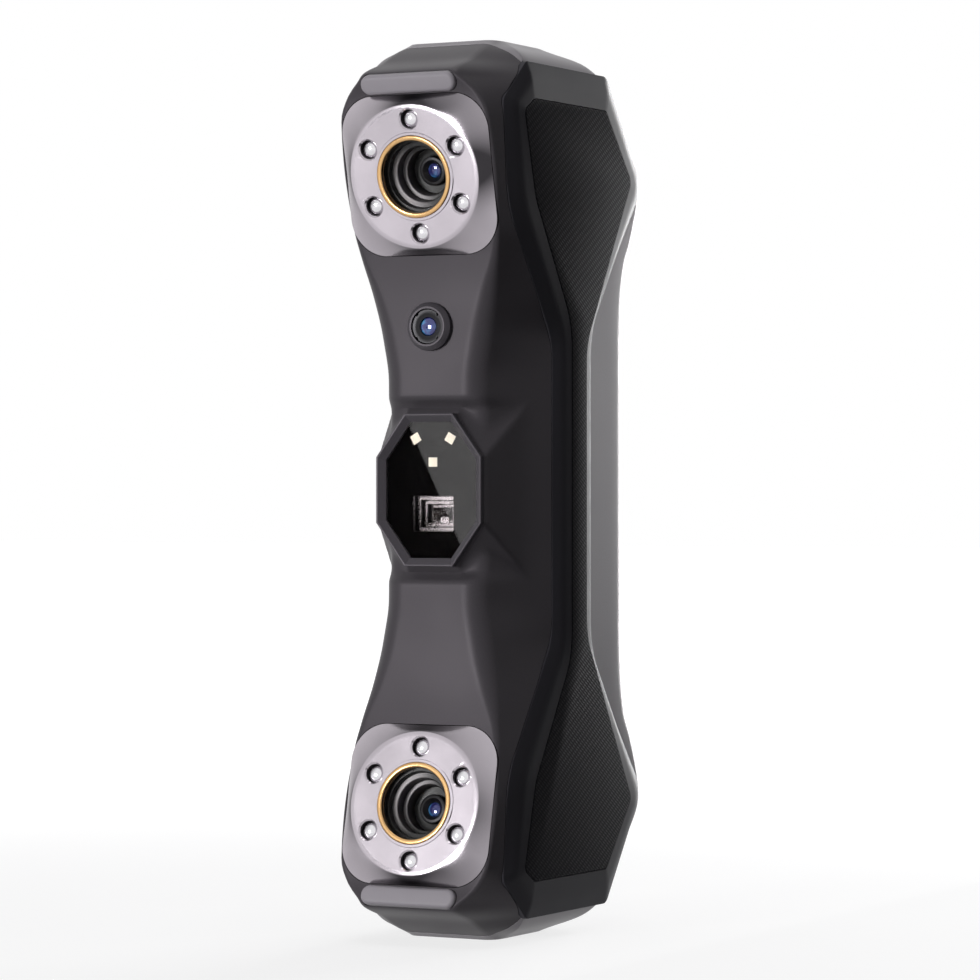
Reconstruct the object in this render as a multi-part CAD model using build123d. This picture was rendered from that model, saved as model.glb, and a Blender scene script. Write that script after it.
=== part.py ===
from build123d import *
import os
from dataclasses import dataclass
from math import cos, radians, sin, sqrt, tan

# Handheld stereo 3D scanner with two lit camera heads, a pattern projector and a colour camera.
# Millimetres. +Z runs along the body, the lenses look along -Y, and X = 0 is the middle plane.
# The origin lies under the middle of the body, on the flat end that it stands on.
# Heights named H are measured from the middle of the body; s is +1 for the upper half, -1 for the lower.

# ---- camera heads -------------------------------------------------------------------------------
CAMERA_H = 73.5          # height of each camera axis
CAMERA_Y = -36.4         # front disc of each head
TOE_IN = 12.0            # degrees by which each camera looks towards the middle
HEAD_END_LENGTH = 33.25  # from a camera axis to the end face
PLATE_WIDTH = 39.2
PLATE_HEIGHT = 38.0
PLATE_CORNER = 9.0
PLATE_DISC_R = 17.0
PLATE_DROP = 2.5         # from the disc down to the plate's edge
PLATE_RIM = 2.0          # thickness of the plate at its edge
LENS_BORE_R = 9.75
RIM_WIDTH = 0.8          # raised machined lip round the bore
RIM_HEIGHT = 0.25
LED_CIRCLE_R = 13.5
LED_COUNT = 6
LED_BORE_R = 2.25
LED_CHAMFER = 0.35
LED_DOME_R = 1.9
LED_DOME_DEPTH = 1.3     # from the disc down to the top of a dome
LED_BOARD_THICKNESS = 1.0
LED_BOARD_R = 17.0
RING_WIDTH = 1.15
RING_HEIGHT = 1.5
RING_PROUD = 0.55
WINDOW_SEAT_DEPTH = 2.2  # from the disc down to the camera window's seat
CAMERA_WINDOW_THICKNESS = 0.8
HOOD_STEPS = 4
HOOD_DEPTH = 10.4        # from the disc to the floor of the hood
HOOD_FLOOR = 1.6
HOOD_MOUTH_R = 7.9
HOOD_THROAT_R = 4.9
BARREL_R = 3.5
BARREL_FRONT_DEPTH = 9.0
BARREL_LENGTH = 9.0
CAMERA_GLASS_R = 1.7
GLASS_RECESS = 1.0       # how far the glass lies behind the barrel's front
HOUSING_SIZE = 24.0
HOUSING_LENGTH = 13.0
HOUSING_WALL = 2.0
CAMERA_BOARD_THICKNESS = 1.2
SENSOR_SIZE = 9.0
SENSOR_THICKNESS = 1.5

# ---- shells -------------------------------------------------------------------------------------
SIDE = 21.3              # half width of the shells at the grips
NECK_FACE_Y = -28.1      # front face of the neck
NECK_FACE_HALF = 11.8    # half width of the neck's front face, corner to corner
NECK_H = 26.0            # height where the neck starts to widen
NECK_CORNER = 3.5
HEAD_FACE_HALF = 20.3
HEAD_CORNER = 1.0
WAIST_REAR_Y = 36.2
HEAD_REAR_Y = 40.7
WAIST_ROUND = 9.0        # rear corner radius at the waist
HEAD_ROUND = 1.6
BROW_Y = -39.8           # foremost line of the shell, above the bumper
BROW_DROP = 8.7          # from the end face down to the brow
BROW_HALF = 12.2
ROOF_FRONT_Y = -18.0
ROOF_REAR_Y = 11.0
ROOF_FACE_HALF = 11.2     # half width of the roof's front edge
ROOF_HALF = 11.2
ROOF_SEAM_SHIFT = 7.0    # how far the roof's widest line lies behind the parting
ROOF_ROUND = 10.4
WALL = 2.4
FRONT_WALL = 3.6
END_WALL = 6.3           # solid part of each end
PARTING_Y = 2.4          # shells meet here, hidden under the grips
PARTING_FRONT_Y = -20.6  # shells meet here over the ends
PARTING_STEP = 13.5      # from the end face down to the step between the two
PARTING_GAP = 0.12
BUMPER_LENGTH = 25.2
BUMPER_WIDTH = 4.6
BUMPER_PROUD = 1.3
BUMPER_SEAT = 1.0

# ---- grips --------------------------------------------------------------------------------------
GRIP_END = 5.7           # from the end face down to the grip's edge
GRIP_TOP = HEAD_END_LENGTH - GRIP_END
GRIP_SEAT = 1.2          # depth of the pocket in the shells
GRIP_RISE = 2.2          # from the shells' side to the inlay
GRIP_SHOULDER = 0.45     # share of the border that the outer bevel takes
GRIP_SHOULDER_RISE = 0.72
INLAY_THICKNESS = 1.3
REAR_MARGIN = 1.4        # shell that shows behind the grip's edge
# Corners as (y, height above the camera axis, radius), from the front of the waist round to its back.
GRIP_SEAM = [
    (-7.3, -37.6, 12.0),
    (-29.6, -6.8, 26.0),
    (-32.1, GRIP_TOP - 9.8, 3.0),
    (PARTING_FRONT_Y, GRIP_TOP, 2.5),
    (21.4, GRIP_TOP, 3.0),
    (41.0, 1.1, 7.0),
    (12.8, -33.0, 22.0),
]
INLAY_SEAM = [
    (-0.8, -33.8, 19.0),
    (-19.4, -4.9, 15.0),
    (-25.1, GRIP_TOP - 11.8, 2.0),
    (PARTING_FRONT_Y + 0.6, GRIP_TOP - 8.9, 2.0),
    (17.4, GRIP_TOP - 8.8, 2.0),
    (31.2, 2.5, 2.5),
    (6.9, -38.5, 16.0),
]

# ---- centre window, projector and flash ---------------------------------------------------------
BOSS_HALF_WIDTH = 14.2
BOSS_HALF_HEIGHT = 18.1
BOSS_TOP_HALF = 6.5      # half length of the octagon's top edge
BOSS_SIDE_HALF = 7.8     # half length of its side edge
BOSS_MARGIN = 0.4        # boss round the frame
BOSS_SHOULDER = 1.8      # narrowing of the boss towards its upper and lower edges
BOSS_PROUD = 0.1         # boss face in front of the neck's
BOSS_FLARE_DEPTH = 16.0
BOSS_FLARE_SIDE = 4.4
BOSS_FLARE_END = 13.5
FRAME_HEIGHT = 1.6
FRAME_LIP = 0.4
FRAME_BEVEL = 2.0
FRAME_BEVEL_DEPTH = 1.4
FRAME_SPIGOT = 1.8
WINDOW_OVERLAP = 0.5
WINDOW_THICKNESS = 1.0
PROJECTOR_H = -5.6
APERTURE_WIDTH = 11.0
APERTURE_HEIGHT = 8.6
APERTURE_STEPS = 3
PROJECTOR_WALL = 1.6
PROJECTOR_LENS_R = 2.4
FLASH_LED_SIZE = 2.2
FLASH_LED_THICKNESS = 0.6
FLASH_SPREAD = 4.65      # half distance between the two upper flash LEDs
FLASH_H = 12.2
FLASH_LOW_H = 6.6
FLASH_TURN = 30.0        # degrees by which the upper ones are turned
FLASH_BOARD_THICKNESS = 1.0
FLASH_BOARD_WIDTH = 20.0
FLASH_BOARD_HEIGHT = 13.6

# ---- colour camera ------------------------------------------------------------------------------
COLOUR_H = 38.6
COLOUR_BASE_R = 5.75
COLOUR_FRONT_R = 4.75
COLOUR_BORE_R = 4.2
COLOUR_PROUD = 1.7
COLOUR_LENS_R = 2.1
COLOUR_LENGTH = 7.0
COLOUR_BOARD_SIZE = 12.0

# ---- inner frame and electronics ----------------------------------------------------------------
FRAME_FRONT_Y = -8.3
FRAME_THICKNESS = 4.0
FRAME_HALF_WIDTH = 14.0
FRAME_REACH = 20.0       # from a camera axis to the end of the inner frame
SADDLE_DEPTH = 20.0      # of the block that carries a camera housing, before the frame trims it
CABLE_SLOT_H = 28.0
CABLE_SLOT_LENGTH = 22.0
CABLE_SLOT_WIDTH = 9.0
POST_R = 3.0
POST_X = 9.5
POST_H = 46.0
SCREW_R = 1.25
SCREW_HEAD_R = 2.3
SCREW_HEAD_HEIGHT = 1.6
SCREW_BITE = 8.0         # length of thread in a post
BOARD_SCREW_BITE = 4.0
REAR_POST_R = 4.0
REAR_POST_X = 12.4
REAR_POST_H = 66.0
REAR_SCREW_Y = 8.0
REAR_POST_FLOOR = 2.0
BOARD_Y = 1.0
BOARD_THICKNESS = 1.6
BOARD_WIDTH = 30.0
BOARD_MARGIN = 4.0       # of the main board beyond its outer screws
SPACER_R = 2.5
SPACER_X = 12.0
SPACER_RISE = 6.0        # from a front post up to a spacer
HEAT_SINK_SIZE = 22.0
HEAT_SINK_BASE = 2.0
HEAT_SINK_HEIGHT = 9.0
HEAT_SINK_FINS = 6
FIN_THICKNESS = 1.2
CHIP_SIZE = 16.0
CHIP_THICKNESS = 1.4

# ---- rear controls ------------------------------------------------------------------------------
PAD_WIDTH = 18.0
PAD_HEIGHT = 64.0
PAD_H = 12.0
PAD_SEAT = 1.2
PAD_PROUD = 0.3
PAD_LEDGE = 1.5
SCAN_R = 6.2
SCAN_H = 4.0
PILL_WIDTH = 9.5
PILL_HEIGHT = 6.0
PILL_HEIGHTS = {"mode_button": 35.0, "plus_button": 19.5, "minus_button": -11.5}
CAP_PROUD = 1.0
CAP_FLANGE = 0.8
CAP_FLANGE_THICKNESS = 1.0
BUTTON_TRAVEL = 0.5
BUTTON_GAP = 0.3
STEM_R = 1.0
SWITCH_SIZE = 6.0
SWITCH_HEIGHT = 2.8
SWITCH_BORE_DEPTH = 2.0
BUTTON_BOARD_THICKNESS = 1.4
BUTTON_BOARD_DEPTH = 8.0 # from the rear face to the board's front
STATUS_R = 0.8
STATUS_H = 27.3
STATUS_PITCH = 4.0
STATUS_COUNT = 3

# ---- lower end ----------------------------------------------------------------------------------
TRIPOD_Y = -7.0
TRIPOD_BORE_R = 3.2
TRIPOD_R = 5.0
TRIPOD_LENGTH = 9.0
TRIPOD_RECESS = 0.3
TRIPOD_BOSS_WALL = 2.6
USB_Y = 4.5
USB_WIDTH = 8.9
USB_HEIGHT = 3.2
USB_LENGTH = 8.2
USB_WALL = 0.35
USB_BOARD_WIDTH = 16.0
USB_BOARD_LENGTH = 14.0

# ---- fits ---------------------------------------------------------------------------------------
SEAT_GAP = 0.1           # round every piece that sits in a pocket
SLIP = 0.05              # between turned parts that push together

END_H = CAMERA_H + HEAD_END_LENGTH
MIDDLE = END_H           # height of the body's middle above the floor
FRAME_REAR_Y = FRAME_FRONT_Y + FRAME_THICKNESS
HOUSING_FRONT = -(HOOD_DEPTH + HOOD_FLOOR)
HOUSING_REAR = HOUSING_FRONT - HOUSING_LENGTH
UP_TILT = sin(radians(TOE_IN))
UP_RISE = cos(radians(TOE_IN))
SPACER_H = POST_H + SPACER_RISE
BOARD_HEIGHT = 2 * (SPACER_H + BOARD_MARGIN)
REACH = 2 * END_H        # longer than any cut needs


# ---- outlines -----------------------------------------------------------------------------------
def rounded_wire(corners):
    """Closed wire through the corners (u, v, r), each rounded by its radius where it has one."""
    arcs = []
    for index, (u, v, radius) in enumerate(corners):
        corner = Vector(u, v)
        before = (Vector(*corners[index - 1][:2]) - corner).normalized()
        after = (Vector(*corners[(index + 1) % len(corners)][:2]) - corner).normalized()
        half = radians(before.get_angle(after)) / 2
        reach = radius / tan(half)
        inward = (before + after).normalized()
        middle = corner + inward * (radius / sin(half) - radius)
        arcs.append((corner + before * reach, middle, corner + after * reach, radius))
    edges = []
    for index, (start, middle, end, radius) in enumerate(arcs):
        if radius > 0:
            edges.append(Edge.make_three_point_arc(start, middle, end))
        edges.append(Edge.make_line(end, arcs[(index + 1) % len(arcs)][0]))
    return Wire(edges)


def rounded_face(corners):
    return Face(rounded_wire(corners))


def mirrored(corners):
    """The given upper corners, and the same ones upside down, as one closed outline."""
    return corners + [(u, -v, radius) for u, v, radius in reversed(corners)]


def octagon(half_width, half_height, top_half, side_half):
    points = [(half_width, side_half), (top_half, half_height)]
    points += [(-x, z) for x, z in reversed(points)]
    points += [(-x, -z) for x, z in points]
    return Polygon(*points, align=None)


def front_plane(y, h=0.0):
    """Plane across the front at depth y, with its normal towards the viewer."""
    return Plane(origin=(0, y, MIDDLE + h), x_dir=(1, 0, 0), z_dir=(0, -1, 0))


def rear_plane(y, h=0.0):
    return Plane(origin=(0, y, MIDDLE + h), x_dir=(-1, 0, 0), z_dir=(0, 1, 0))


def head_plane(s):
    """Plane of a head's front disc: Z leaves the lens, Y points up."""
    return Plane(
        origin=(0, CAMERA_Y, MIDDLE + s * CAMERA_H),
        x_dir=(1, 0, 0),
        z_dir=(0, -UP_RISE, -s * UP_TILT),
    )


def side_plane(x):
    """Plane parallel to a side of the body: its X is the body's Y, its Y is the body's Z."""
    return Plane(origin=(x, 0, MIDDLE), x_dir=(0, 1, 0), z_dir=(1, 0, 0))


def slab(sketch, z_from, z_to):
    """A sketch given thickness between two heights of the local frame."""
    return Pos(0, 0, z_from) * extrude(sketch, z_to - z_from, dir=(0, 0, 1))


def disc(radius, z_from, z_to, x=0.0, y=0.0):
    """Cylinder between two heights of the local frame."""
    return Pos(x, y, 0) * slab(Circle(radius), z_from, z_to)


def side_slab(sketch, x_from, x_to):
    """A sketch in (y, h) given thickness between two distances to the right of the middle plane."""
    return extrude(side_plane(x_from) * sketch, x_to - x_from, dir=(1, 0, 0))


def turned(points):
    """Solid of revolution about the local Z from (radius, z) points."""
    return revolve(Plane.XZ * Polygon(*points, align=None), Axis.Z)


# ---- grip outlines ------------------------------------------------------------------------------
def from_middle(seam):
    """A seam's corners with their heights measured from the middle of the body."""
    return [(y, CAMERA_H + h, radius) for y, h, radius in seam]


def blended(outer, inner, share):
    """Outline that lies between two matching ones, at a share of the way inwards."""
    return [
        tuple(a + (b - a) * share for a, b in zip(first, second))
        for first, second in zip(outer, inner)
    ]


def seam_y(h):
    """Front edge of the grip at a height: straight runs with their corners rounded off."""
    corners = from_middle(GRIP_SEAM)[:4]
    if abs(h) <= corners[0][1]:
        return corners[0][0]
    for (y0, h0, _), (y1, h1, _) in zip(corners, corners[1:]):
        if h0 <= abs(h) <= h1:
            return y0 + (y1 - y0) * (abs(h) - h0) / (h1 - h0)
    return corners[-1][0]


def rear_y(h):
    """Rear face of the shells above the head's widest height: parallel to the grip's edge."""
    corners = from_middle(GRIP_SEAM)
    (y0, h0, _), (y1, h1, _) = corners[4], corners[5]
    return y1 + (y0 - y1) * (abs(h) - h1) / (h0 - h1) + REAR_MARGIN


# ---- shell sections -----------------------------------------------------------------------------
@dataclass
class Section:
    """One cross-section of the shells."""

    h: float        # height from the middle
    front: float    # y of the front face
    face: float     # half width of the front face, corner to corner
    corner: float   # radius between the front face and the side wall
    seam: float     # y where the side wall reaches the flat side
    side: float     # half width of the flat side
    rear: float     # y of the rear face
    round: float    # radius of the rear corners

    def wire(self):
        right = [
            (self.face, self.front, self.corner),
            (self.side, self.seam, 0.0),
            (self.side, self.rear, self.round),
        ]
        left = [(-x, y, radius) for x, y, radius in reversed(right)]
        return Pos(0, 0, MIDDLE + self.h) * rounded_wire(right + left)

    def inset(self, front_wall, wall):
        """The same section inside a wall, its front corners left sharp."""
        lean = (self.side - self.face) / (self.seam - self.front)
        stretch = sqrt(1 + lean * lean)
        return Section(
            self.h,
            self.front + front_wall,
            self.face + lean * front_wall - wall * stretch,
            0.0,
            self.seam + wall * lean / (1 + stretch),
            self.side - wall,
            self.rear - wall,
            max(self.round - wall, 0.8),
        )

    def flipped(self):
        return Section(-self.h, *list(vars(self).values())[1:])


def plate_edge(end):
    """(h, y) of the shell's face at the lens plate's lower (-1) or upper (+1) edge."""
    along = end * PLATE_HEIGHT / 2
    return (
        CAMERA_H + along * UP_RISE + PLATE_DROP * UP_TILT,
        CAMERA_Y - along * UP_TILT + PLATE_DROP * UP_RISE,
    )


def half_sections():
    """Sections from the middle of the body up to its end face."""
    low_h, low_y = plate_edge(-1)
    high_h, high_y = plate_edge(+1)

    def face_y(h):
        return low_y + (high_y - low_y) * (h - low_h) / (high_h - low_h)

    def neck(h, share, rear_share):
        """Neck section: share 0 at the waist and 1 at the head."""
        return Section(
            h,
            NECK_FACE_Y + (low_y - NECK_FACE_Y) * share ** 2,
            NECK_FACE_HALF + (HEAD_FACE_HALF - 2.1 - NECK_FACE_HALF) * share,
            NECK_CORNER + (HEAD_CORNER + 1.0 - NECK_CORNER) * share ** 2,
            seam_y(h),
            SIDE,
            WAIST_REAR_Y + (HEAD_REAR_Y - WAIST_REAR_Y) * rear_share,
            WAIST_ROUND + (HEAD_ROUND - WAIST_ROUND) * rear_share,
        )

    def head(h, face, corner, rear, radius):
        return Section(h, face_y(h), face, corner, seam_y(h), SIDE, rear, radius)

    sections = [neck(0.0, 0.0, 0.0), neck(NECK_H, 0.02, 0.0)]
    for step, (share, rear_share) in enumerate([(0.28, 0.0), (0.6, 0.05)], start=1):
        sections.append(neck(NECK_H + (low_h - NECK_H) * step / 3, share, rear_share))
    sections.append(neck(low_h, 1.0, 0.24))
    widest = CAMERA_H + 2.5
    sections += [
        head(low_h + 6.0, HEAD_FACE_HALF - 1.0, HEAD_CORNER + 0.4, HEAD_REAR_Y - 2.0, 4.8),
        head(widest, HEAD_FACE_HALF, HEAD_CORNER, HEAD_REAR_Y, HEAD_ROUND),
    ]
    for below, narrow in [(5.0, 0.6), (-0.4, 3.2)]:
        h = high_h - below
        sections.append(head(h, HEAD_FACE_HALF - narrow, HEAD_CORNER + 0.2 * narrow, rear_y(h), HEAD_ROUND + 0.6))
    brow_h = END_H - BROW_DROP
    sections.append(
        Section(brow_h, BROW_Y, BROW_HALF, 2.0, seam_y(brow_h), SIDE, rear_y(brow_h), HEAD_ROUND + 2.0)
    )
    shoulder_y = rear_y(END_H - GRIP_END)
    for drop, share, bulge in [(1.0, 0.3, 0.04), (0.4, 0.68, 0.35), (0.0, 1.0, 1.0)]:
        sections.append(
            Section(
                END_H - END_WALL * drop,
                BROW_Y + (ROOF_FRONT_Y - BROW_Y) * share ** 0.85,
                BROW_HALF + (ROOF_FACE_HALF - BROW_HALF) * share ** 2,
                2.0 + share,
                PARTING_FRONT_Y + ROOF_SEAM_SHIFT * bulge,
                SIDE - 0.2 + (ROOF_HALF - SIDE) * bulge,
                shoulder_y + (ROOF_REAR_Y - shoulder_y) * bulge,
                HEAD_ROUND + 2.0 + (ROOF_ROUND - HEAD_ROUND - 2.0) * bulge,
            )
        )
    return sections


def loft_sections(upper):
    both = [section.flipped() for section in reversed(upper[1:])] + upper
    return Solid.make_loft([section.wire() for section in both], ruled=True)


def body_outside():
    """Shell exterior: the lofted dog-bone and the flared boss of the centre window."""
    half_width = BOSS_HALF_WIDTH + BOSS_MARGIN
    half_height = BOSS_HALF_HEIGHT + BOSS_MARGIN
    top_half = BOSS_HALF_WIDTH - BOSS_SHOULDER
    near = front_plane(NECK_FACE_Y - BOSS_PROUD) * octagon(
        half_width, half_height, top_half, BOSS_SIDE_HALF
    )
    far = front_plane(NECK_FACE_Y + BOSS_FLARE_DEPTH) * octagon(
        half_width + BOSS_FLARE_SIDE,
        half_height + BOSS_FLARE_END,
        top_half + BOSS_FLARE_SIDE,
        BOSS_SIDE_HALF + BOSS_FLARE_END * 0.6,
    )
    return loft_sections(half_sections()) + loft([near, far], ruled=True)


def body_inside():
    """Space inside the shells, up to the thick end walls."""
    top = END_H - END_WALL + 0.01
    upper = [section for section in half_sections() if section.h <= top]
    return loft_sections([section.inset(FRONT_WALL, WALL) for section in upper])


def front_zone(gap=0.0):
    """Everything in front of the stepped parting line."""
    step = END_H - PARTING_STEP
    back = PARTING_Y - gap
    edge = PARTING_FRONT_Y - gap
    points = [(-REACH, REACH), (edge, REACH), (edge, step - gap), (back, step - gap)]
    points += [(y, -h) for y, h in reversed(points)]
    return side_slab(Polygon(*points, align=None), -2 * SIDE, 2 * SIDE)


# ---- cuts and posts shared by the shells --------------------------------------------------------
def grip_pockets():
    """Shallow pockets in both sides, with the grip's outline."""
    outline = offset(rounded_face(mirrored(from_middle(GRIP_SEAM))), SEAT_GAP)
    right = side_slab(outline, SIDE - GRIP_SEAT, SIDE + GRIP_RISE)
    return [right, mirror(right, Plane.YZ)]


def head_cut(s):
    """Pocket for a lens plate and the opening behind it."""
    pocket = slab(
        RectangleRounded(PLATE_WIDTH + 2 * SEAT_GAP, PLATE_HEIGHT + 2 * SEAT_GAP, PLATE_CORNER),
        -(PLATE_DROP + PLATE_RIM),
        PLATE_DROP,
    )
    opening = disc(LED_BOARD_R + 0.4, -HOUSING_LENGTH, 0)
    return head_plane(s) * (pocket + opening)


def bumper_plane(s):
    """Plane of the shell's face between a lens plate and the brow."""
    low_h, low_y = plate_edge(+1)
    high_h, high_y = END_H - BROW_DROP, BROW_Y
    middle_h = (low_h + high_h) / 2
    return Plane(
        origin=(0, (low_y + high_y) / 2, MIDDLE + s * middle_h),
        x_dir=(1, 0, 0),
        z_dir=(0, low_h - high_h, s * (high_y - low_y)),
    )


def bumper_sketch(gap=0.0):
    return RectangleRounded(BUMPER_LENGTH + 2 * gap, BUMPER_WIDTH + 2 * gap, BUMPER_WIDTH / 2 - 0.1)


def front_posts():
    """Screw posts that carry the inner frame."""
    near = face_at(POST_H) + FRONT_WALL / 2
    posts = [
        front_plane(FRAME_FRONT_Y, h) * Pos(x, 0, 0)
        * (disc(POST_R, 0, FRAME_FRONT_Y - near) - disc(SCREW_R - 0.1, 0, SCREW_BITE + 1.0))
        for x in (-POST_X, POST_X)
        for h in (-POST_H, POST_H)
    ]
    return posts


def front_shell(outside, inside):
    shell = (outside - inside) & front_zone(PARTING_GAP / 2)
    shell += front_posts()
    shell -= grip_pockets()
    for s in (1, -1):
        shell -= head_cut(s)
        shell -= bumper_plane(s) * slab(bumper_sketch(SEAT_GAP), -BUMPER_SEAT, BUMPER_SEAT)
    spigot = spigot_octagon(SEAT_GAP)
    shell -= front_plane(NECK_FACE_Y) * slab(spigot, -FRAME_SPIGOT - 8, 2)
    shell += colour_plane() * disc(COLOUR_BASE_R, -FRONT_WALL / 2, 0)
    shell -= colour_plane() * disc(COLOUR_FRONT_R + SLIP, -COLOUR_LENGTH, 1)
    return shell


def rear_post(x, h):
    """Hollow post: the screw's head lies deep inside it."""
    start = REAR_SCREW_Y - REAR_POST_FLOOR
    return rear_plane(start, h) * disc(REAR_POST_R, 0, HEAD_REAR_Y - WALL - start, x)


def rear_post_bore(x, h):
    head = disc(SCREW_HEAD_R + 0.3, REAR_POST_FLOOR, REACH)
    shank = disc(SCREW_R + 0.15, -1, REACH)
    return rear_plane(REAR_SCREW_Y - REAR_POST_FLOOR, h) * Pos(x, 0, 0) * (head + shank)


def rear_post_places():
    return [(x, h) for x in (-REAR_POST_X, REAR_POST_X) for h in (-REAR_POST_H, REAR_POST_H)]


def rear_shell(outside, inside):
    shell = (outside - inside) - front_zone(-PARTING_GAP / 2)
    for x, h in rear_post_places():
        shell += rear_post(x, h)
    shell += Pos(0, TRIPOD_Y, 1.0) * extrude(Circle(TRIPOD_R + TRIPOD_BOSS_WALL), TRIPOD_LENGTH + 1)
    shell += rear_plane(WAIST_REAR_Y - WALL, PAD_H) * button_board_posts()
    shell -= grip_pockets()
    for x, h in rear_post_places():
        shell -= rear_post_bore(x, h)
    shell -= rear_plane(WAIST_REAR_Y, PAD_H) * slab(pad_sketch(SEAT_GAP), -PAD_SEAT, 4)
    shell -= rear_plane(WAIST_REAR_Y, PAD_H) * slab(pad_sketch(-PAD_LEDGE), -WALL - 1, 4)
    shell -= Pos(0, TRIPOD_Y, 0) * extrude(Circle(TRIPOD_R + SLIP), TRIPOD_LENGTH + TRIPOD_RECESS)
    usb = RectangleRounded(USB_WIDTH + 2 * SEAT_GAP, USB_HEIGHT + 2 * SEAT_GAP, USB_HEIGHT / 2)
    shell -= Pos(0, USB_Y, 0) * extrude(usb, 2 * END_WALL)
    return shell


# ---- grips --------------------------------------------------------------------------------------
def grip_panel(side):
    """Bevelled side cover with a pocket for the textured inlay."""
    outer = from_middle(GRIP_SEAM)
    inner = from_middle(INLAY_SEAM)
    base = side_slab(rounded_face(mirrored(outer)), SIDE - GRIP_SEAT, SIDE)
    levels = [(0.0, 0.0), (GRIP_SHOULDER, GRIP_SHOULDER_RISE), (0.94, 0.94)]
    wires = [
        side_plane(SIDE + GRIP_RISE * rise) * rounded_wire(mirrored(blended(outer, inner, share)))
        for share, rise in levels
    ]
    panel = base + Solid.make_loft(wires, ruled=True)
    pocket = offset(rounded_face(mirrored(inner)), SEAT_GAP)
    panel -= side_slab(pocket, SIDE + GRIP_RISE - INLAY_THICKNESS, SIDE + 2 * GRIP_RISE)
    return panel if side > 0 else mirror(panel, Plane.YZ)


def grip_inlay(side):
    face = rounded_face(mirrored(from_middle(INLAY_SEAM)))
    inlay = side_slab(face, SIDE + GRIP_RISE - INLAY_THICKNESS, SIDE + GRIP_RISE)
    return inlay if side > 0 else mirror(inlay, Plane.YZ)


# ---- camera heads -------------------------------------------------------------------------------
def led_places():
    return PolarLocations(LED_CIRCLE_R, LED_COUNT, start_angle=90)


def plate_blend():
    """Skin that falls from the round disc to the plate's rounded square edge."""
    half_w, half_h = PLATE_WIDTH / 2, PLATE_HEIGHT / 2
    square = [(half_w, -half_h), (half_w, half_h), (-half_w, half_h), (-half_w, -half_h)]
    edge = rounded_wire([(x, y, PLATE_CORNER) for x, y in square])
    radius = PLATE_DISC_R
    around = [(radius, -radius), (radius, radius), (-radius, radius), (-radius, -radius)]
    circle = rounded_wire([(x, y, radius * 0.98) for x, y in around])
    return Solid.make_loft([Pos(0, 0, -PLATE_DROP) * edge, circle], ruled=True)


def lens_plate(s):
    """Metal face of a head: LED bores round the lens, and a bore for the hood."""
    base = RectangleRounded(PLATE_WIDTH, PLATE_HEIGHT, PLATE_CORNER)
    plate = slab(base, -(PLATE_DROP + PLATE_RIM), -PLATE_DROP) + plate_blend()
    lip = disc(LENS_BORE_R + RIM_WIDTH, -0.5, RIM_HEIGHT)
    plate += chamfer(lip.edges().group_by(Axis.Z)[-1], RIM_HEIGHT * 0.8)
    plate -= disc(LENS_BORE_R, -10, 5)
    bore = disc(LED_BORE_R, -10, 1)
    mouth = Pos(0, 0, -LED_CHAMFER) * Cone(
        LED_BORE_R, LED_BORE_R + 2 * LED_CHAMFER, 2 * LED_CHAMFER,
        align=(Align.CENTER, Align.CENTER, Align.MIN),
    )
    plate -= led_places() * (bore + mouth)
    return head_plane(s) * plate


def led_board(s):
    """Ring-shaped board behind the plate."""
    front = -(PLATE_DROP + PLATE_RIM)
    board = disc(LED_BOARD_R, front - LED_BOARD_THICKNESS, front)
    board -= disc(LENS_BORE_R + SEAT_GAP, front - 5, front + 5)
    return head_plane(s) * board


def led_lenses(s):
    """Clear domes of the LEDs, one in each bore."""
    base = -(PLATE_DROP + PLATE_RIM)
    top = -LED_DOME_DEPTH
    spring = top - LED_DOME_R * 0.8
    points = [(0, base), (LED_DOME_R, base), (LED_DOME_R, spring)]
    points += [(LED_DOME_R * cos(radians(55)), spring + (top - spring) * sin(radians(55))), (0, top)]
    return head_plane(s) * Compound(led_places() * turned(points))


def lens_ring(s):
    """Brass ring that holds the camera window in the hood's mouth."""
    outer = LENS_BORE_R - SLIP
    inner = outer - RING_WIDTH
    top = RING_PROUD
    crown = RING_WIDTH * 0.3
    points = [
        (outer, top - RING_HEIGHT),
        (outer, top - crown),
        (outer - crown, top),
        (inner + crown, top),
        (inner, top - crown),
        (inner, top - RING_HEIGHT),
    ]
    return head_plane(s) * turned(points)


def camera_window(s):
    seat = -WINDOW_SEAT_DEPTH
    top = seat + CAMERA_WINDOW_THICKNESS
    return head_plane(s) * disc(LENS_BORE_R - RING_WIDTH + 0.3, seat, top)


def lens_hood(s):
    """Black well round the lens, stepped inside against stray light."""
    outer = LENS_BORE_R - SLIP
    window_r = LENS_BORE_R - RING_WIDTH + 0.3 + SLIP
    mouth = RING_PROUD - RING_HEIGHT
    floor = -HOOD_DEPTH
    base = floor - HOOD_FLOOR
    points = [(outer, mouth), (window_r, mouth), (window_r, -WINDOW_SEAT_DEPTH)]
    points.append((HOOD_MOUTH_R, -WINDOW_SEAT_DEPTH))
    rise = (HOOD_DEPTH - WINDOW_SEAT_DEPTH) / HOOD_STEPS
    inset = (HOOD_MOUTH_R - HOOD_THROAT_R) / HOOD_STEPS
    for step in range(1, HOOD_STEPS + 1):
        level = -WINDOW_SEAT_DEPTH - step * rise
        points.append((HOOD_MOUTH_R - (step - 1) * inset, level))
        points.append((HOOD_MOUTH_R - step * inset, level))
    points += [(BARREL_R + SLIP, floor), (BARREL_R + SLIP, base), (outer, base)]
    return head_plane(s) * turned(points)


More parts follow.
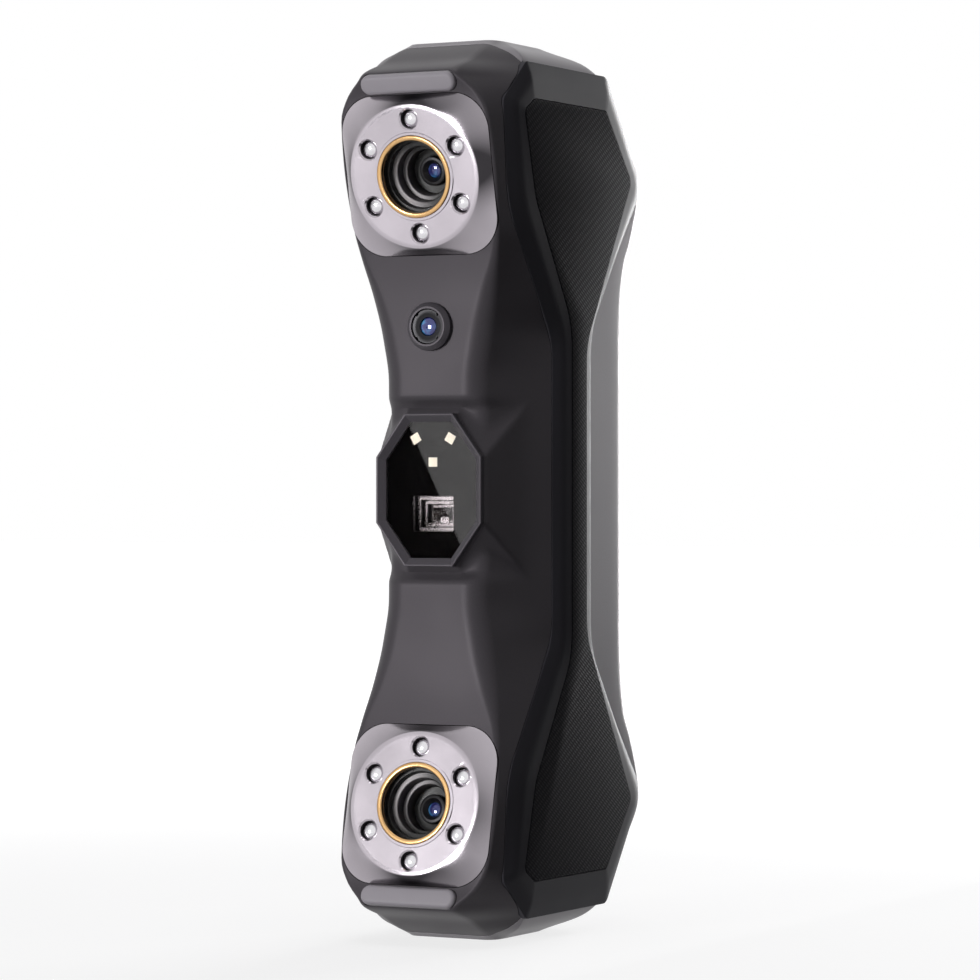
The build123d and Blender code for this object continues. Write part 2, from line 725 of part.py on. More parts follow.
def lens_barrel(s):
    """Small threaded lens barrel with a conical recess down to its glass."""
    front = -BARREL_FRONT_DEPTH
    points = [
        (0, front - BARREL_LENGTH),
        (BARREL_R, front - BARREL_LENGTH),
        (BARREL_R, front - 0.4),
        (BARREL_R - 0.4, front),
        (CAMERA_GLASS_R + 0.9, front),
        (CAMERA_GLASS_R + SLIP, front - GLASS_RECESS),
        (CAMERA_GLASS_R + SLIP, front - GLASS_RECESS - 1.5),
        (0, front - GLASS_RECESS - 1.5),
    ]
    return head_plane(s) * turned(points)


def lens_glass(s):
    """Front element: a short cylinder with a domed face."""
    base = -BARREL_FRONT_DEPTH - GLASS_RECESS - 1.5
    top = base + 1.2
    points = [(0, base), (CAMERA_GLASS_R, base), (CAMERA_GLASS_R, top)]
    points += [(CAMERA_GLASS_R * cos(radians(a)), top + 0.5 * sin(radians(a))) for a in (30, 60)]
    points.append((0, top + 0.5))
    return head_plane(s) * turned(points)


def camera_housing(s):
    """Machined cup that holds the barrel, with the camera board inside."""
    block = slab(RectangleRounded(HOUSING_SIZE, HOUSING_SIZE, 2.0), HOUSING_REAR, HOUSING_FRONT)
    inner = HOUSING_SIZE - 2 * HOUSING_WALL
    block -= slab(Rectangle(inner, inner), HOUSING_REAR - 1, HOUSING_FRONT - 2 * HOUSING_WALL)
    block -= disc(BARREL_R + SLIP, HOUSING_REAR, HOUSING_FRONT + 1)
    return head_plane(s) * block


def camera_board(s):
    """Sensor board that lies against the inner face of the housing's front wall."""
    side = HOUSING_SIZE - 2 * HOUSING_WALL - 2 * SEAT_GAP
    sensor_top = -BARREL_FRONT_DEPTH - BARREL_LENGTH - SEAT_GAP
    front = sensor_top - SENSOR_THICKNESS
    board = slab(Rectangle(side, side), front - CAMERA_BOARD_THICKNESS, front)
    board += slab(Rectangle(SENSOR_SIZE, SENSOR_SIZE), front, sensor_top)
    return head_plane(s) * board


def bumper(s):
    """Rubber bar that guards the head's front edge."""
    bar = slab(bumper_sketch(), -BUMPER_SEAT + SEAT_GAP / 2, BUMPER_PROUD)
    bar = chamfer(bar.edges().group_by(Axis.Z)[-1], BUMPER_PROUD * 0.5)
    return bumper_plane(s) * bar


# ---- centre window, projector and flash ---------------------------------------------------------
def window_octagon(margin):
    """The glass's outline, grown by a margin."""
    return octagon(
        BOSS_HALF_WIDTH - FRAME_LIP - FRAME_BEVEL + margin + 0.4,
        BOSS_HALF_HEIGHT - FRAME_LIP - FRAME_BEVEL + margin + 0.4,
        BOSS_TOP_HALF - 0.6 + margin * 0.5,
        BOSS_SIDE_HALF + margin * 0.3,
    )


def spigot_octagon(margin=0.0):
    return window_octagon(2 * WINDOW_OVERLAP + margin)


def window_frame():
    """Octagonal frame with a bevel falling to the glass, and a spigot into the shell."""
    outer = octagon(BOSS_HALF_WIDTH, BOSS_HALF_HEIGHT, BOSS_TOP_HALF, BOSS_SIDE_HALF)
    frame = slab(outer, BOSS_PROUD, FRAME_HEIGHT) + slab(spigot_octagon(), -FRAME_SPIGOT, BOSS_PROUD)
    glass = FRAME_HEIGHT - FRAME_BEVEL_DEPTH
    wide = octagon(
        BOSS_HALF_WIDTH - FRAME_LIP,
        BOSS_HALF_HEIGHT - FRAME_LIP,
        BOSS_TOP_HALF - 0.2,
        BOSS_SIDE_HALF,
    )
    frame -= loft([Pos(0, 0, FRAME_HEIGHT) * wide, Pos(0, 0, glass) * window_octagon(0)], ruled=True)
    frame -= slab(window_octagon(WINDOW_OVERLAP + SEAT_GAP), -FRAME_SPIGOT - 1, glass)
    return front_plane(NECK_FACE_Y) * frame


def window_glass():
    top = FRAME_HEIGHT - FRAME_BEVEL_DEPTH
    glass = slab(window_octagon(WINDOW_OVERLAP), top - WINDOW_THICKNESS, top)
    return front_plane(NECK_FACE_Y) * glass


WINDOW_BACK_Y = NECK_FACE_Y - FRAME_HEIGHT + FRAME_BEVEL_DEPTH + WINDOW_THICKNESS
INNER_FRONT_Y = WINDOW_BACK_Y + 0.9     # front of what lies behind the glass


def flash_board():
    """Small board that carries the flash LEDs above the projector."""
    middle = (FLASH_H + FLASH_LOW_H) / 2
    board = Pos(0, middle) * RectangleRounded(FLASH_BOARD_WIDTH, FLASH_BOARD_HEIGHT, 1.5)
    board &= window_octagon(-WINDOW_OVERLAP)
    return front_plane(INNER_FRONT_Y) * slab(board, -FLASH_BOARD_THICKNESS, 0)


def flash_leds():
    places = [(-FLASH_SPREAD, FLASH_H, FLASH_TURN), (FLASH_SPREAD, FLASH_H, -FLASH_TURN),
              (0, FLASH_LOW_H, 0)]
    led = slab(Rectangle(FLASH_LED_SIZE, FLASH_LED_SIZE), 0, FLASH_LED_THICKNESS)
    leds = [Pos(x, h, 0) * Rot(0, 0, turn) * led for x, h, turn in places]
    return front_plane(INNER_FRONT_Y) * Compound(leds)


def projector_length():
    return FRAME_FRONT_Y - INNER_FRONT_Y


def projector_housing():
    """Box with a stepped square mouth, screwed to the inner frame."""
    length = projector_length()
    width = APERTURE_WIDTH + 2 * PROJECTOR_WALL
    height = APERTURE_HEIGHT + 2 * PROJECTOR_WALL
    box = slab(RectangleRounded(width, height, 1.0), -length, 0)
    for step in range(APERTURE_STEPS):
        shrink = 2.0 * step
        depth = 1.6 * (step + 1)
        box -= slab(Rectangle(APERTURE_WIDTH - shrink, APERTURE_HEIGHT - shrink), -depth, 1)
    box -= disc(PROJECTOR_LENS_R + SLIP, -length + 3, 1)
    return front_plane(INNER_FRONT_Y, PROJECTOR_H) * box


def projector_lens():
    """Collimating lens at the floor of the stepped mouth."""
    front = -1.6 * APERTURE_STEPS
    points = [(0, front - 4), (PROJECTOR_LENS_R, front - 4), (PROJECTOR_LENS_R, front - 0.8)]
    points += [(PROJECTOR_LENS_R * 0.7, front - 0.25), (0, front)]
    return front_plane(INNER_FRONT_Y, PROJECTOR_H) * turned(points)


# ---- colour camera ------------------------------------------------------------------------------
def colour_ring():
    """Chamfered ring that stands out of the neck."""
    points = [
        (COLOUR_BASE_R, 0),
        (COLOUR_BASE_R, COLOUR_PROUD * 0.35),
        (COLOUR_FRONT_R, COLOUR_PROUD),
        (COLOUR_BORE_R, COLOUR_PROUD),
        (COLOUR_BORE_R, -COLOUR_LENGTH),
        (COLOUR_FRONT_R, -COLOUR_LENGTH),
        (COLOUR_FRONT_R, 0),
    ]
    return colour_plane() * turned(points)


def face_at(h):
    """y of the shells' front face at a height above the middle."""
    sections = half_sections()
    for low, high in zip(sections, sections[1:]):
        if low.h <= h <= high.h:
            return low.front + (high.front - low.front) * (h - low.h) / (high.h - low.h)
    return sections[-1].front


def colour_plane():
    """Flat seat of the colour camera's ring, at the foremost line of the neck under it."""
    return front_plane(face_at(COLOUR_H + COLOUR_BASE_R), COLOUR_H)


def colour_barrel():
    """Focus barrel with four spanner notches and a cone down to the lens."""
    outer = COLOUR_BORE_R - SLIP
    front = COLOUR_PROUD - 0.5
    points = [
        (0, -COLOUR_LENGTH),
        (outer, -COLOUR_LENGTH),
        (outer, front),
        (COLOUR_LENS_R + 0.9, front),
        (COLOUR_LENS_R + SLIP, front - 0.5),
        (COLOUR_LENS_R + SLIP, front - 2.0),
        (0, front - 2.0),
    ]
    barrel = turned(points)
    notch = slab(Rectangle(0.9, 0.9), front - 0.6, front + 1)
    return colour_plane() * (barrel - PolarLocations(outer, 4, start_angle=45) * notch)


def colour_glass():
    base = COLOUR_PROUD - 2.5
    top = base + 1.3
    points = [(0, base), (COLOUR_LENS_R, base), (COLOUR_LENS_R, top)]
    points += [(COLOUR_LENS_R * cos(radians(a)), top + 0.7 * sin(radians(a))) for a in (30, 60)]
    points.append((0, top + 0.7))
    return colour_plane() * turned(points)


def colour_board():
    """Board and sensor block behind the colour camera, carried by the front shell's face."""
    top = -COLOUR_LENGTH
    board = RectangleRounded(COLOUR_BOARD_SIZE, COLOUR_BOARD_SIZE, 1.0)
    return colour_plane() * slab(board, top - 1.2, top)


# ---- inner frame and electronics ----------------------------------------------------------------
def inner_frame():
    """Aluminium spine with a tilted seat for each camera and posts for board and rear shell."""
    reach = CAMERA_H + FRAME_REACH
    frame = front_plane(FRAME_FRONT_Y) * slab(
        RectangleRounded(2 * FRAME_HALF_WIDTH, 2 * reach, 4.0), -FRAME_THICKNESS, 0
    )
    for s in (1, -1):
        seat = slab(Rectangle(HOUSING_SIZE, HOUSING_SIZE), HOUSING_REAR - SADDLE_DEPTH, HOUSING_REAR)
        seat = head_plane(s) * seat
        behind = front_plane(FRAME_REAR_Y) * slab(Rectangle(REACH, 2 * REACH), -REACH, 0)
        frame += seat - behind
        slot = SlotOverall(CABLE_SLOT_LENGTH, CABLE_SLOT_WIDTH, rotation=90)
        frame -= front_plane(FRAME_FRONT_Y, s * CABLE_SLOT_H) * slab(slot, -REACH, REACH)
    for x, h in rear_post_places():
        length = REAR_SCREW_Y - REAR_POST_FLOOR - FRAME_REAR_Y - SLIP
        post = disc(REAR_POST_R - 0.4, 0, length) - disc(SCREW_R, -1, length + 1)
        frame += rear_plane(FRAME_REAR_Y, h) * Pos(x, 0, 0) * post
    for x, h in spacer_places():
        post = disc(SPACER_R, 0, BOARD_Y - FRAME_REAR_Y) - disc(SCREW_R, 0, 9)
        frame += rear_plane(FRAME_REAR_Y, h) * Pos(x, 0, 0) * post
    for x in (-POST_X, POST_X):
        for h in (-POST_H, POST_H):
            frame -= front_plane(FRAME_FRONT_Y, h) * disc(SCREW_R + 0.1, -9, 9, x)
    return frame


def spacer_places():
    return [(x, h) for x in (-SPACER_X, SPACER_X) for h in (-SPACER_H, SPACER_H)]


def main_board():
    board = slab(RectangleRounded(BOARD_WIDTH, BOARD_HEIGHT, 2.0), 0, BOARD_THICKNESS)
    for x, h in spacer_places():
        board -= disc(SCREW_R + 0.1, -1, 5, x, h)
    return rear_plane(BOARD_Y) * board


def processor():
    return rear_plane(BOARD_Y + BOARD_THICKNESS) * slab(Rectangle(CHIP_SIZE, CHIP_SIZE), 0, CHIP_THICKNESS)


def heat_sink():
    """Finned block on the processor."""
    size = HEAT_SINK_SIZE
    block = slab(Rectangle(size, size), 0, HEAT_SINK_BASE)
    pitch = (size - FIN_THICKNESS) / (HEAT_SINK_FINS - 1)
    for fin in range(HEAT_SINK_FINS):
        x = -(size - FIN_THICKNESS) / 2 + fin * pitch
        block += Pos(x, 0, 0) * slab(Rectangle(FIN_THICKNESS, size), 0, HEAT_SINK_HEIGHT)
    return rear_plane(BOARD_Y + BOARD_THICKNESS + CHIP_THICKNESS) * block


def screw(length):
    """Pan-head screw: its head stands on Z = 0 and the shank points down."""
    return disc(SCREW_HEAD_R, 0, SCREW_HEAD_HEIGHT) + disc(SCREW_R - 0.12, -length, 0)


def frame_screws():
    """Four screws from the inner frame into the front shell's posts."""
    places = [(x, h) for x in (-POST_X, POST_X) for h in (-POST_H, POST_H)]
    screws = [rear_plane(FRAME_REAR_Y, h) * Pos(x, 0, 0) * screw(FRAME_THICKNESS + SCREW_BITE) for x, h in places]
    return Compound(screws)


def board_screws():
    head_y = BOARD_Y + BOARD_THICKNESS
    screws = [rear_plane(head_y, h) * Pos(x, 0, 0) * screw(BOARD_THICKNESS + BOARD_SCREW_BITE) for x, h in spacer_places()]
    return Compound(screws)


def shell_screws():
    """Four long screws from the rear, through the hollow posts into the inner frame."""
    screws = [
        rear_plane(REAR_SCREW_Y, h) * Pos(x, 0, 0) * screw(REAR_POST_FLOOR + SCREW_BITE)
        for x, h in rear_post_places()
    ]
    return Compound(screws)


# ---- rear controls ------------------------------------------------------------------------------
def pad_sketch(margin=0.0):
    return SlotOverall(PAD_HEIGHT + 2 * margin, PAD_WIDTH + 2 * margin, rotation=90)


def pill(margin=0.0):
    return SlotOverall(PILL_WIDTH + 2 * margin, PILL_HEIGHT + 2 * margin)


def button_sketch(name, margin=0.0):
    return Circle(SCAN_R + margin) if name == "scan_button" else pill(margin)


BUTTON_HEIGHTS = {"scan_button": SCAN_H, **PILL_HEIGHTS}


def control_panel():
    """Slim bezel round the buttons, flush in the rear shell."""
    panel = slab(pad_sketch(), -PAD_SEAT, PAD_PROUD)
    for name, height in BUTTON_HEIGHTS.items():
        panel -= Pos(0, height - PAD_H, 0) * slab(button_sketch(name, BUTTON_GAP), -9, 9)
    for x in status_places():
        panel -= disc(STATUS_R + SEAT_GAP, -9, 9, x, STATUS_H - PAD_H)
    return rear_plane(WAIST_REAR_Y, PAD_H) * panel


def status_places():
    return [(index - (STATUS_COUNT - 1) / 2) * STATUS_PITCH for index in range(STATUS_COUNT)]


def status_lights():
    """Light pipes between the button board and the bezel."""
    lights = [disc(STATUS_R, -BUTTON_BOARD_DEPTH, PAD_PROUD, x) for x in status_places()]
    return rear_plane(WAIST_REAR_Y, STATUS_H) * Compound(lights)


def button(name):
    """Cap with a flange that keeps it behind the bezel, and a stem that works its switch."""
    under = -PAD_SEAT - BUTTON_GAP
    cap = slab(button_sketch(name), under, CAP_PROUD)
    cap = chamfer(cap.edges().group_by(Axis.Z)[-1], 0.4)
    cap += slab(button_sketch(name, CAP_FLANGE), under - CAP_FLANGE_THICKNESS, under)
    switch_top = -BUTTON_BOARD_DEPTH + SWITCH_HEIGHT
    stem_end = switch_top - SWITCH_BORE_DEPTH + BUTTON_TRAVEL + BUTTON_GAP
    cap += disc(STEM_R, stem_end, under)
    return rear_plane(WAIST_REAR_Y, BUTTON_HEIGHTS[name]) * cap


def button_board_posts():
    """Stubs of the rear shell that carry the button board."""
    reach = BUTTON_BOARD_DEPTH - WALL
    x = PAD_WIDTH / 2 + 1.0
    stubs = [disc(1.5, -reach, 1.0, sx * x, sy * PAD_HEIGHT * 0.36) for sx in (-1, 1) for sy in (-1, 1)]
    return Compound(stubs)


def button_board():
    board = RectangleRounded(PAD_WIDTH + 5, PAD_HEIGHT - 6, 2.0)
    front = -BUTTON_BOARD_DEPTH
    return rear_plane(WAIST_REAR_Y, PAD_H) * slab(board, front - BUTTON_BOARD_THICKNESS, front)


def tactile_switches():
    """One switch under each button, bored for its stem."""
    top = -BUTTON_BOARD_DEPTH + SWITCH_HEIGHT
    body = slab(Rectangle(SWITCH_SIZE, SWITCH_SIZE), -BUTTON_BOARD_DEPTH, top)
    body -= disc(STEM_R + BUTTON_GAP, top - SWITCH_BORE_DEPTH, top + 1)
    return Compound([rear_plane(WAIST_REAR_Y, height) * body for height in BUTTON_HEIGHTS.values()])


# ---- lower end ----------------------------------------------------------------------------------
def tripod_insert():
    """Brass insert with the tripod bore."""
    ring = disc(TRIPOD_R, TRIPOD_RECESS, TRIPOD_RECESS + TRIPOD_LENGTH)
    ring -= disc(TRIPOD_BORE_R, 0, TRIPOD_LENGTH + 2)
    return Pos(0, TRIPOD_Y, 0) * ring


def usb_socket():
    """USB-C receptacle: a thin oval can, its back wall and its tongue."""
    can = RectangleRounded(USB_WIDTH, USB_HEIGHT, USB_HEIGHT / 2 - 0.05)
    inner_width = USB_WIDTH - 2 * USB_WALL
    inner_height = USB_HEIGHT - 2 * USB_WALL
    hollow = RectangleRounded(inner_width, inner_height, inner_height / 2 - 0.05)
    socket = slab(can, 0.2, USB_LENGTH) - slab(hollow, 0, USB_LENGTH - 1.2)
    socket += slab(Rectangle(6.6, 0.7), 1.2, USB_LENGTH)
    return Pos(0, USB_Y, 0) * socket


def usb_board():
    """Board behind the end wall that carries the USB socket."""
    low = END_WALL + SEAT_GAP
    sketch = Rectangle(USB_BOARD_WIDTH, 1.2)
    board = slab(sketch, low, low + USB_BOARD_LENGTH)
    return Pos(0, USB_Y + USB_HEIGHT / 2 + 0.6 + SLIP, 0) * board


# ---- all pieces ---------------------------------------------------------------------------------
def head_pieces():
    """The pieces of both camera heads, by name."""
    makers = {
        "lens_plate": lens_plate,
        "lens_ring": lens_ring,
        "camera_window": camera_window,
        "lens_hood": lens_hood,
        "lens_barrel": lens_barrel,
        "lens_glass": lens_glass,
        "camera_housing": camera_housing,
        "camera_board": camera_board,
        "led_board": led_board,
        "led_lenses": led_lenses,
        "bumper": bumper,
    }
    heads = {"upper": 1, "lower": -1}
    return {f"{where}_{name}": make(s) for name, make in makers.items() for where, s in heads.items()}


def all_pieces():
    outside = body_outside()
    inside = body_inside()
    pieces = {
        "front_shell": front_shell(outside, inside),
        "rear_shell": rear_shell(outside, inside),
    }
    for where, side in {"right": 1, "left": -1}.items():
        pieces[f"{where}_grip_panel"] = grip_panel(side)
        pieces[f"{where}_grip_inlay"] = grip_inlay(side)
    pieces.update(head_pieces())
    makers = [
        window_frame, window_glass, flash_board, flash_leds, projector_housing, projector_lens,
        colour_ring, colour_barrel, colour_glass, colour_board, inner_frame, main_board, processor,
        heat_sink, frame_screws, board_screws, shell_screws, control_panel, status_lights,
        button_board, tactile_switches, tripod_insert, usb_socket, usb_board,
    ]
    pieces.update({make.__name__: make() for make in makers})
    pieces.update({name: button(name) for name in BUTTON_HEIGHTS})
    return pieces


def main():
    os.makedirs("parts", exist_ok=True)
    for name, piece in all_pieces().items():
        export_step(piece, f"parts/{name}.step")


main()
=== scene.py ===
import logging
import math
from dataclasses import dataclass
from enum import Enum
from typing import Sequence, Union

import bmesh
import bpy
import numpy as np
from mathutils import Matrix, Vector


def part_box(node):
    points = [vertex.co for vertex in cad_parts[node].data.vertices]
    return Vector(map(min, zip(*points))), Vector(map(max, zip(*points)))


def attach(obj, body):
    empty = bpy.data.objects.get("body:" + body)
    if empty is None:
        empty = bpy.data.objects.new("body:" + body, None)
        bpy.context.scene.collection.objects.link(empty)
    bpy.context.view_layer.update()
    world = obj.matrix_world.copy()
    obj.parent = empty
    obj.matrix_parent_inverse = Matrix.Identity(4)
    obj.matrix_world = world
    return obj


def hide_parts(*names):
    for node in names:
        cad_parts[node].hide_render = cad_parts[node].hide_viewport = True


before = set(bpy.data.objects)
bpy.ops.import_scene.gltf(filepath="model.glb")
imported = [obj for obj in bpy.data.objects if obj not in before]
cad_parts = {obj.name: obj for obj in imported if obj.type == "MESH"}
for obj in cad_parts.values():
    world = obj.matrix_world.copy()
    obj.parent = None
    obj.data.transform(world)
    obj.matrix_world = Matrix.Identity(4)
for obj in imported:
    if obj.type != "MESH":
        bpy.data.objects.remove(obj)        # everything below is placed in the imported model's frame

# Looks of a handheld stereo scanner: its shells, grips, camera heads, centre window, colour camera
# and rear controls. Sizes are in millimetres, H is a height above the middle of the body, and
# s is +1 for the upper half and -1 for the lower. The lenses look along -Y.

LOG = logging.getLogger("scanner")
MM = 0.001               # metres in a millimetre
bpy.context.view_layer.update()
BODY = "body"

Points = np.ndarray
Corner = tuple[float, float, float]      # u, v and the radius that rounds the corner
Colour = tuple[float, float, float, float]

BLACK: Colour = (0.0, 0.0, 0.0, 1.0)
WHITE: Colour = (1.0, 1.0, 1.0, 1.0)
SOFT_WHITE: Colour = (0.98, 0.98, 1.0, 1.0)


def millimetres(node: str) -> tuple[Vector, Vector]:
    """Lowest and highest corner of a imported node, in millimetres."""
    low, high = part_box(node)
    return low / MM, high / MM


END_H = millimetres("rear_shell")[1].z / 2       # from the middle of the body to either end
MIDDLE = END_H
SIDE = 21.3              # half width of the shells
CAMERA_H = 73.5
CAMERA_Y = -36.4
TOE_IN = math.radians(12.0)
PLATE_WIDTH = 39.2
PLATE_HEIGHT = 38.0
PLATE_CORNER = 9.0
PLATE_DROP = 2.5         # from a head's disc down to its plate's edge
NECK_FACE_Y = -28.1
BROW_Y = -39.8
BROW_DROP = 8.7
WAIST_REAR_Y = 36.2
PARTING_Y = 2.4
PARTING_FRONT_Y = -20.6
PARTING_STEP = 13.5
GRIP_TOP = END_H - CAMERA_H - 5.7
GRIP_RISE = 2.2
SEAM_GAP = 0.16          # joint that shows between two mouldings
# Corners as (y, height above the camera axis, radius), from the waist's front round to its back.
GRIP_SEAM = [
    (-7.3, -37.6, 12.0),
    (-29.6, -6.8, 26.0),
    (-32.1, GRIP_TOP - 9.8, 3.0),
    (PARTING_FRONT_Y, GRIP_TOP, 2.5),
    (21.4, GRIP_TOP, 3.0),
    (41.0, 1.1, 7.0),
    (12.8, -33.0, 22.0),
]
INLAY_SEAM = [
    (-0.8, -33.8, 19.0),
    (-19.4, -4.9, 15.0),
    (-25.1, GRIP_TOP - 11.8, 2.0),
    (PARTING_FRONT_Y + 0.6, GRIP_TOP - 8.9, 2.0),
    (17.4, GRIP_TOP - 8.8, 2.0),
    (31.2, 2.5, 2.5),
    (6.9, -38.5, 16.0),
]


class Half(Enum):
    """The two ends of the body, each with its camera head."""

    UPPER = 1
    LOWER = -1

    @property
    def label(self) -> str:
        """Word that starts the names of this end's pieces."""
        return self.name.lower()


class Hand(Enum):
    """The two sides of the body."""

    RIGHT = 1
    LEFT = -1

    @property
    def label(self) -> str:
        """Word that starts the names of this side's pieces."""
        return self.name.lower()


# ---- outlines and surfaces ----------------------------------------------------------------------
def unit(vector: Points) -> Points:
    """The vector at length 1."""
    return vector / np.linalg.norm(vector)


def outline(corners: Sequence[Corner], arc: int = 8, run: int = 1) -> Points:
    """Closed outline through rounded corners.

    Args:
        corners: corners in order, each with its radius.
        arc: steps in each rounding.
        run: steps in each straight stretch.

    Returns:
        The outline's points, one row each.
    """
    bends = []
    for index, (u, v, radius) in enumerate(corners):
        corner = np.array((u, v))
        before = unit(np.array(corners[index - 1][:2]) - corner)
        after = unit(np.array(corners[(index + 1) % len(corners)][:2]) - corner)
        half = math.acos(max(-1.0, min(1.0, float(before @ after)))) / 2
        radius = max(radius, 0.02)
        centre = corner + unit(before + after) * radius / math.sin(half)
        start = corner + before * radius / math.tan(half) - centre
        end = corner + after * radius / math.tan(half) - centre
        first = math.atan2(start[1], start[0])
        turn = math.remainder(math.atan2(end[1], end[0]) - first, math.tau)
        angles = first + turn * np.linspace(0.0, 1.0, arc + 1)
        bends.append(centre + radius * np.column_stack([np.cos(angles), np.sin(angles)]))
    points = []
    for index, bend in enumerate(bends):
        points.extend(bend)
        gap = bends[(index + 1) % len(bends)][0] - bend[-1]
        points.extend(bend[-1] + gap * step / run for step in range(1, run))
    return np.array(points)


def inset(corners: Sequence[Corner], distance: float) -> list[Corner]:
    """The same corners with every side moved inwards by a distance, or outwards if it is negative.

    Args:
        corners: the outline.
        distance: how far every side moves.

    Returns:
        The moved corners, with radii that keep their centres.
    """
    flat = np.array([corner[:2] for corner in corners])
    following = np.roll(flat, -1, axis=0)
    area = np.sum(flat[:, 0] * following[:, 1] - flat[:, 1] * following[:, 0])
    turning = math.copysign(1.0, float(area))
    moved = []
    for index, (u, v, radius) in enumerate(corners):
        corner = np.array((u, v))
        before = unit(corner - flat[index - 1])
        after = unit(following[index] - corner)
        first = turning * np.array((-before[1], before[0]))
        second = turning * np.array((-after[1], after[0]))
        point = corner + (first + second) * distance / (1.0 + float(first @ second))
        bulging = turning * (before[0] * after[1] - before[1] * after[0]) > 0
        moved.append((point[0], point[1], radius - distance if bulging else radius + distance))
    return moved


def rectangle(width: float, height: float, radius: float) -> list[Corner]:
    """Corners of a rounded rectangle about the origin."""
    u, v = width / 2, height / 2
    return [(u, -v, radius), (u, v, radius), (-u, v, radius), (-u, -v, radius)]


def octagon(half_width: float, half_height: float, top_half: float, side_half: float,
            radius: float = 0.0) -> list[Corner]:
    """Corners of an upright octagon about the origin.

    Args:
        half_width: half of the width.
        half_height: half of the height.
        top_half: half of the level top side.
        side_half: half of the upright side.
        radius: radius of every corner.

    Returns:
        The eight corners.
    """
    quarter = [(half_width, side_half), (top_half, half_height)]
    upper = quarter + [(-u, v) for u, v in reversed(quarter)]
    return [(u, v, radius) for u, v in upper + [(-u, -v) for u, v in upper]]


def mirrored(corners: Sequence[Corner]) -> list[Corner]:
    """The given upper corners, and the same ones upside down, as one closed outline."""
    return list(corners) + [(u, -v, radius) for u, v, radius in reversed(corners)]


def from_middle(seam: Sequence[Corner]) -> list[Corner]:
    """A seam's corners with their heights measured from the middle of the body."""
    return mirrored([(y, CAMERA_H + h, radius) for y, h, radius in seam])


def flowing(keys: Sequence[float], values: Points, at: Points) -> Points:
    """Smooth curve through the values that never swings past them.

    Args:
        keys: places of the values, rising.
        values: one row for each key.
        at: places to read.

    Returns:
        One row for each place.
    """
    keys = np.asarray(keys, float)
    steps = np.diff(keys)[:, None]
    slopes = np.diff(values, axis=0) / steps
    tangents = np.zeros_like(values)
    with np.errstate(divide="ignore", invalid="ignore"):
        harmonic = 2 * slopes[1:] * slopes[:-1] / (slopes[1:] + slopes[:-1])
    tangents[1:-1] = np.where(slopes[1:] * slopes[:-1] > 0, harmonic, 0.0)
    tangents[0], tangents[-1] = slopes[0], slopes[-1]
    index = np.clip(np.searchsorted(keys, at, side="right") - 1, 0, len(keys) - 2)
    width = steps[index]
    t = (np.asarray(at)[:, None] - keys[index][:, None]) / width
    return (
        (1 + 2 * t) * (1 - t) ** 2 * values[index]
        + t * (1 - t) ** 2 * width * tangents[index]
        + t ** 2 * (3 - 2 * t) * values[index + 1]
        + t ** 2 * (t - 1) * width * tangents[index + 1]
    )


def lifted(flat: Points, z: float) -> Points:
    """Flat points at a height."""
    return np.column_stack([flat, np.full(len(flat), z)])


def turned_rings(profile: Sequence[tuple[float, float]], steps: int = 96) -> list[Points]:
    """Rings about Z, one for each (radius, z) point of a profile.

    Args:
        profile: the points to turn.
        steps: points in each ring.

    Returns:
        The rings, in the order of the profile.
    """
    angles = np.linspace(0.0, math.tau, steps, endpoint=False)
    circle = np.column_stack([np.cos(angles), np.sin(angles)])
    return [lifted(circle * radius, z) for radius, z in profile]


@dataclass(frozen=True)
class Place:
    """A local frame in the body: its origin, its X direction and its normal."""

    origin: tuple[float, float, float]
    x_dir: tuple[float, float, float] = (1.0, 0.0, 0.0)
    z_dir: tuple[float, float, float] = (0.0, 0.0, 1.0)

    def to_body(self, points: Points) -> Points:
        """Local points in millimetres as points of the body in metres.

        Args:
            points: the local points, one row each.

        Returns:
            The same points in the body.
        """
        z = unit(np.array(self.z_dir))
        x = unit(np.array(self.x_dir))
        axes = np.array([x, np.cross(z, x), z])
        return (np.asarray(points, float) @ axes + np.array(self.origin)) * MM

    def shifted(self, x: float = 0.0, y: float = 0.0, z: float = 0.0) -> "Place":
        """The same frame with its origin moved along its own axes."""
        moved = self.to_body(np.array([(x, y, z)]))[0] / MM
        return Place(tuple(moved), self.x_dir, self.z_dir)


WHOLE = Place((0.0, 0.0, 0.0))


def front_place(y: float, h: float = 0.0) -> Place:
    """Frame on a plane across the front, looking at the viewer."""
    return Place((0.0, y, MIDDLE + h), (1.0, 0.0, 0.0), (0.0, -1.0, 0.0))


def rear_place(y: float, h: float = 0.0) -> Place:
    """Frame on a plane across the back, looking away from the viewer."""
    return Place((0.0, y, MIDDLE + h), (-1.0, 0.0, 0.0), (0.0, 1.0, 0.0))


def head_place(half: Half) -> Place:
    """Frame on a head's front disc, whose Z leaves the lens."""
    z_dir = (0.0, -math.cos(TOE_IN), -half.value * math.sin(TOE_IN))
    return Place((0.0, CAMERA_Y, MIDDLE + half.value * CAMERA_H), (1.0, 0.0, 0.0), z_dir)


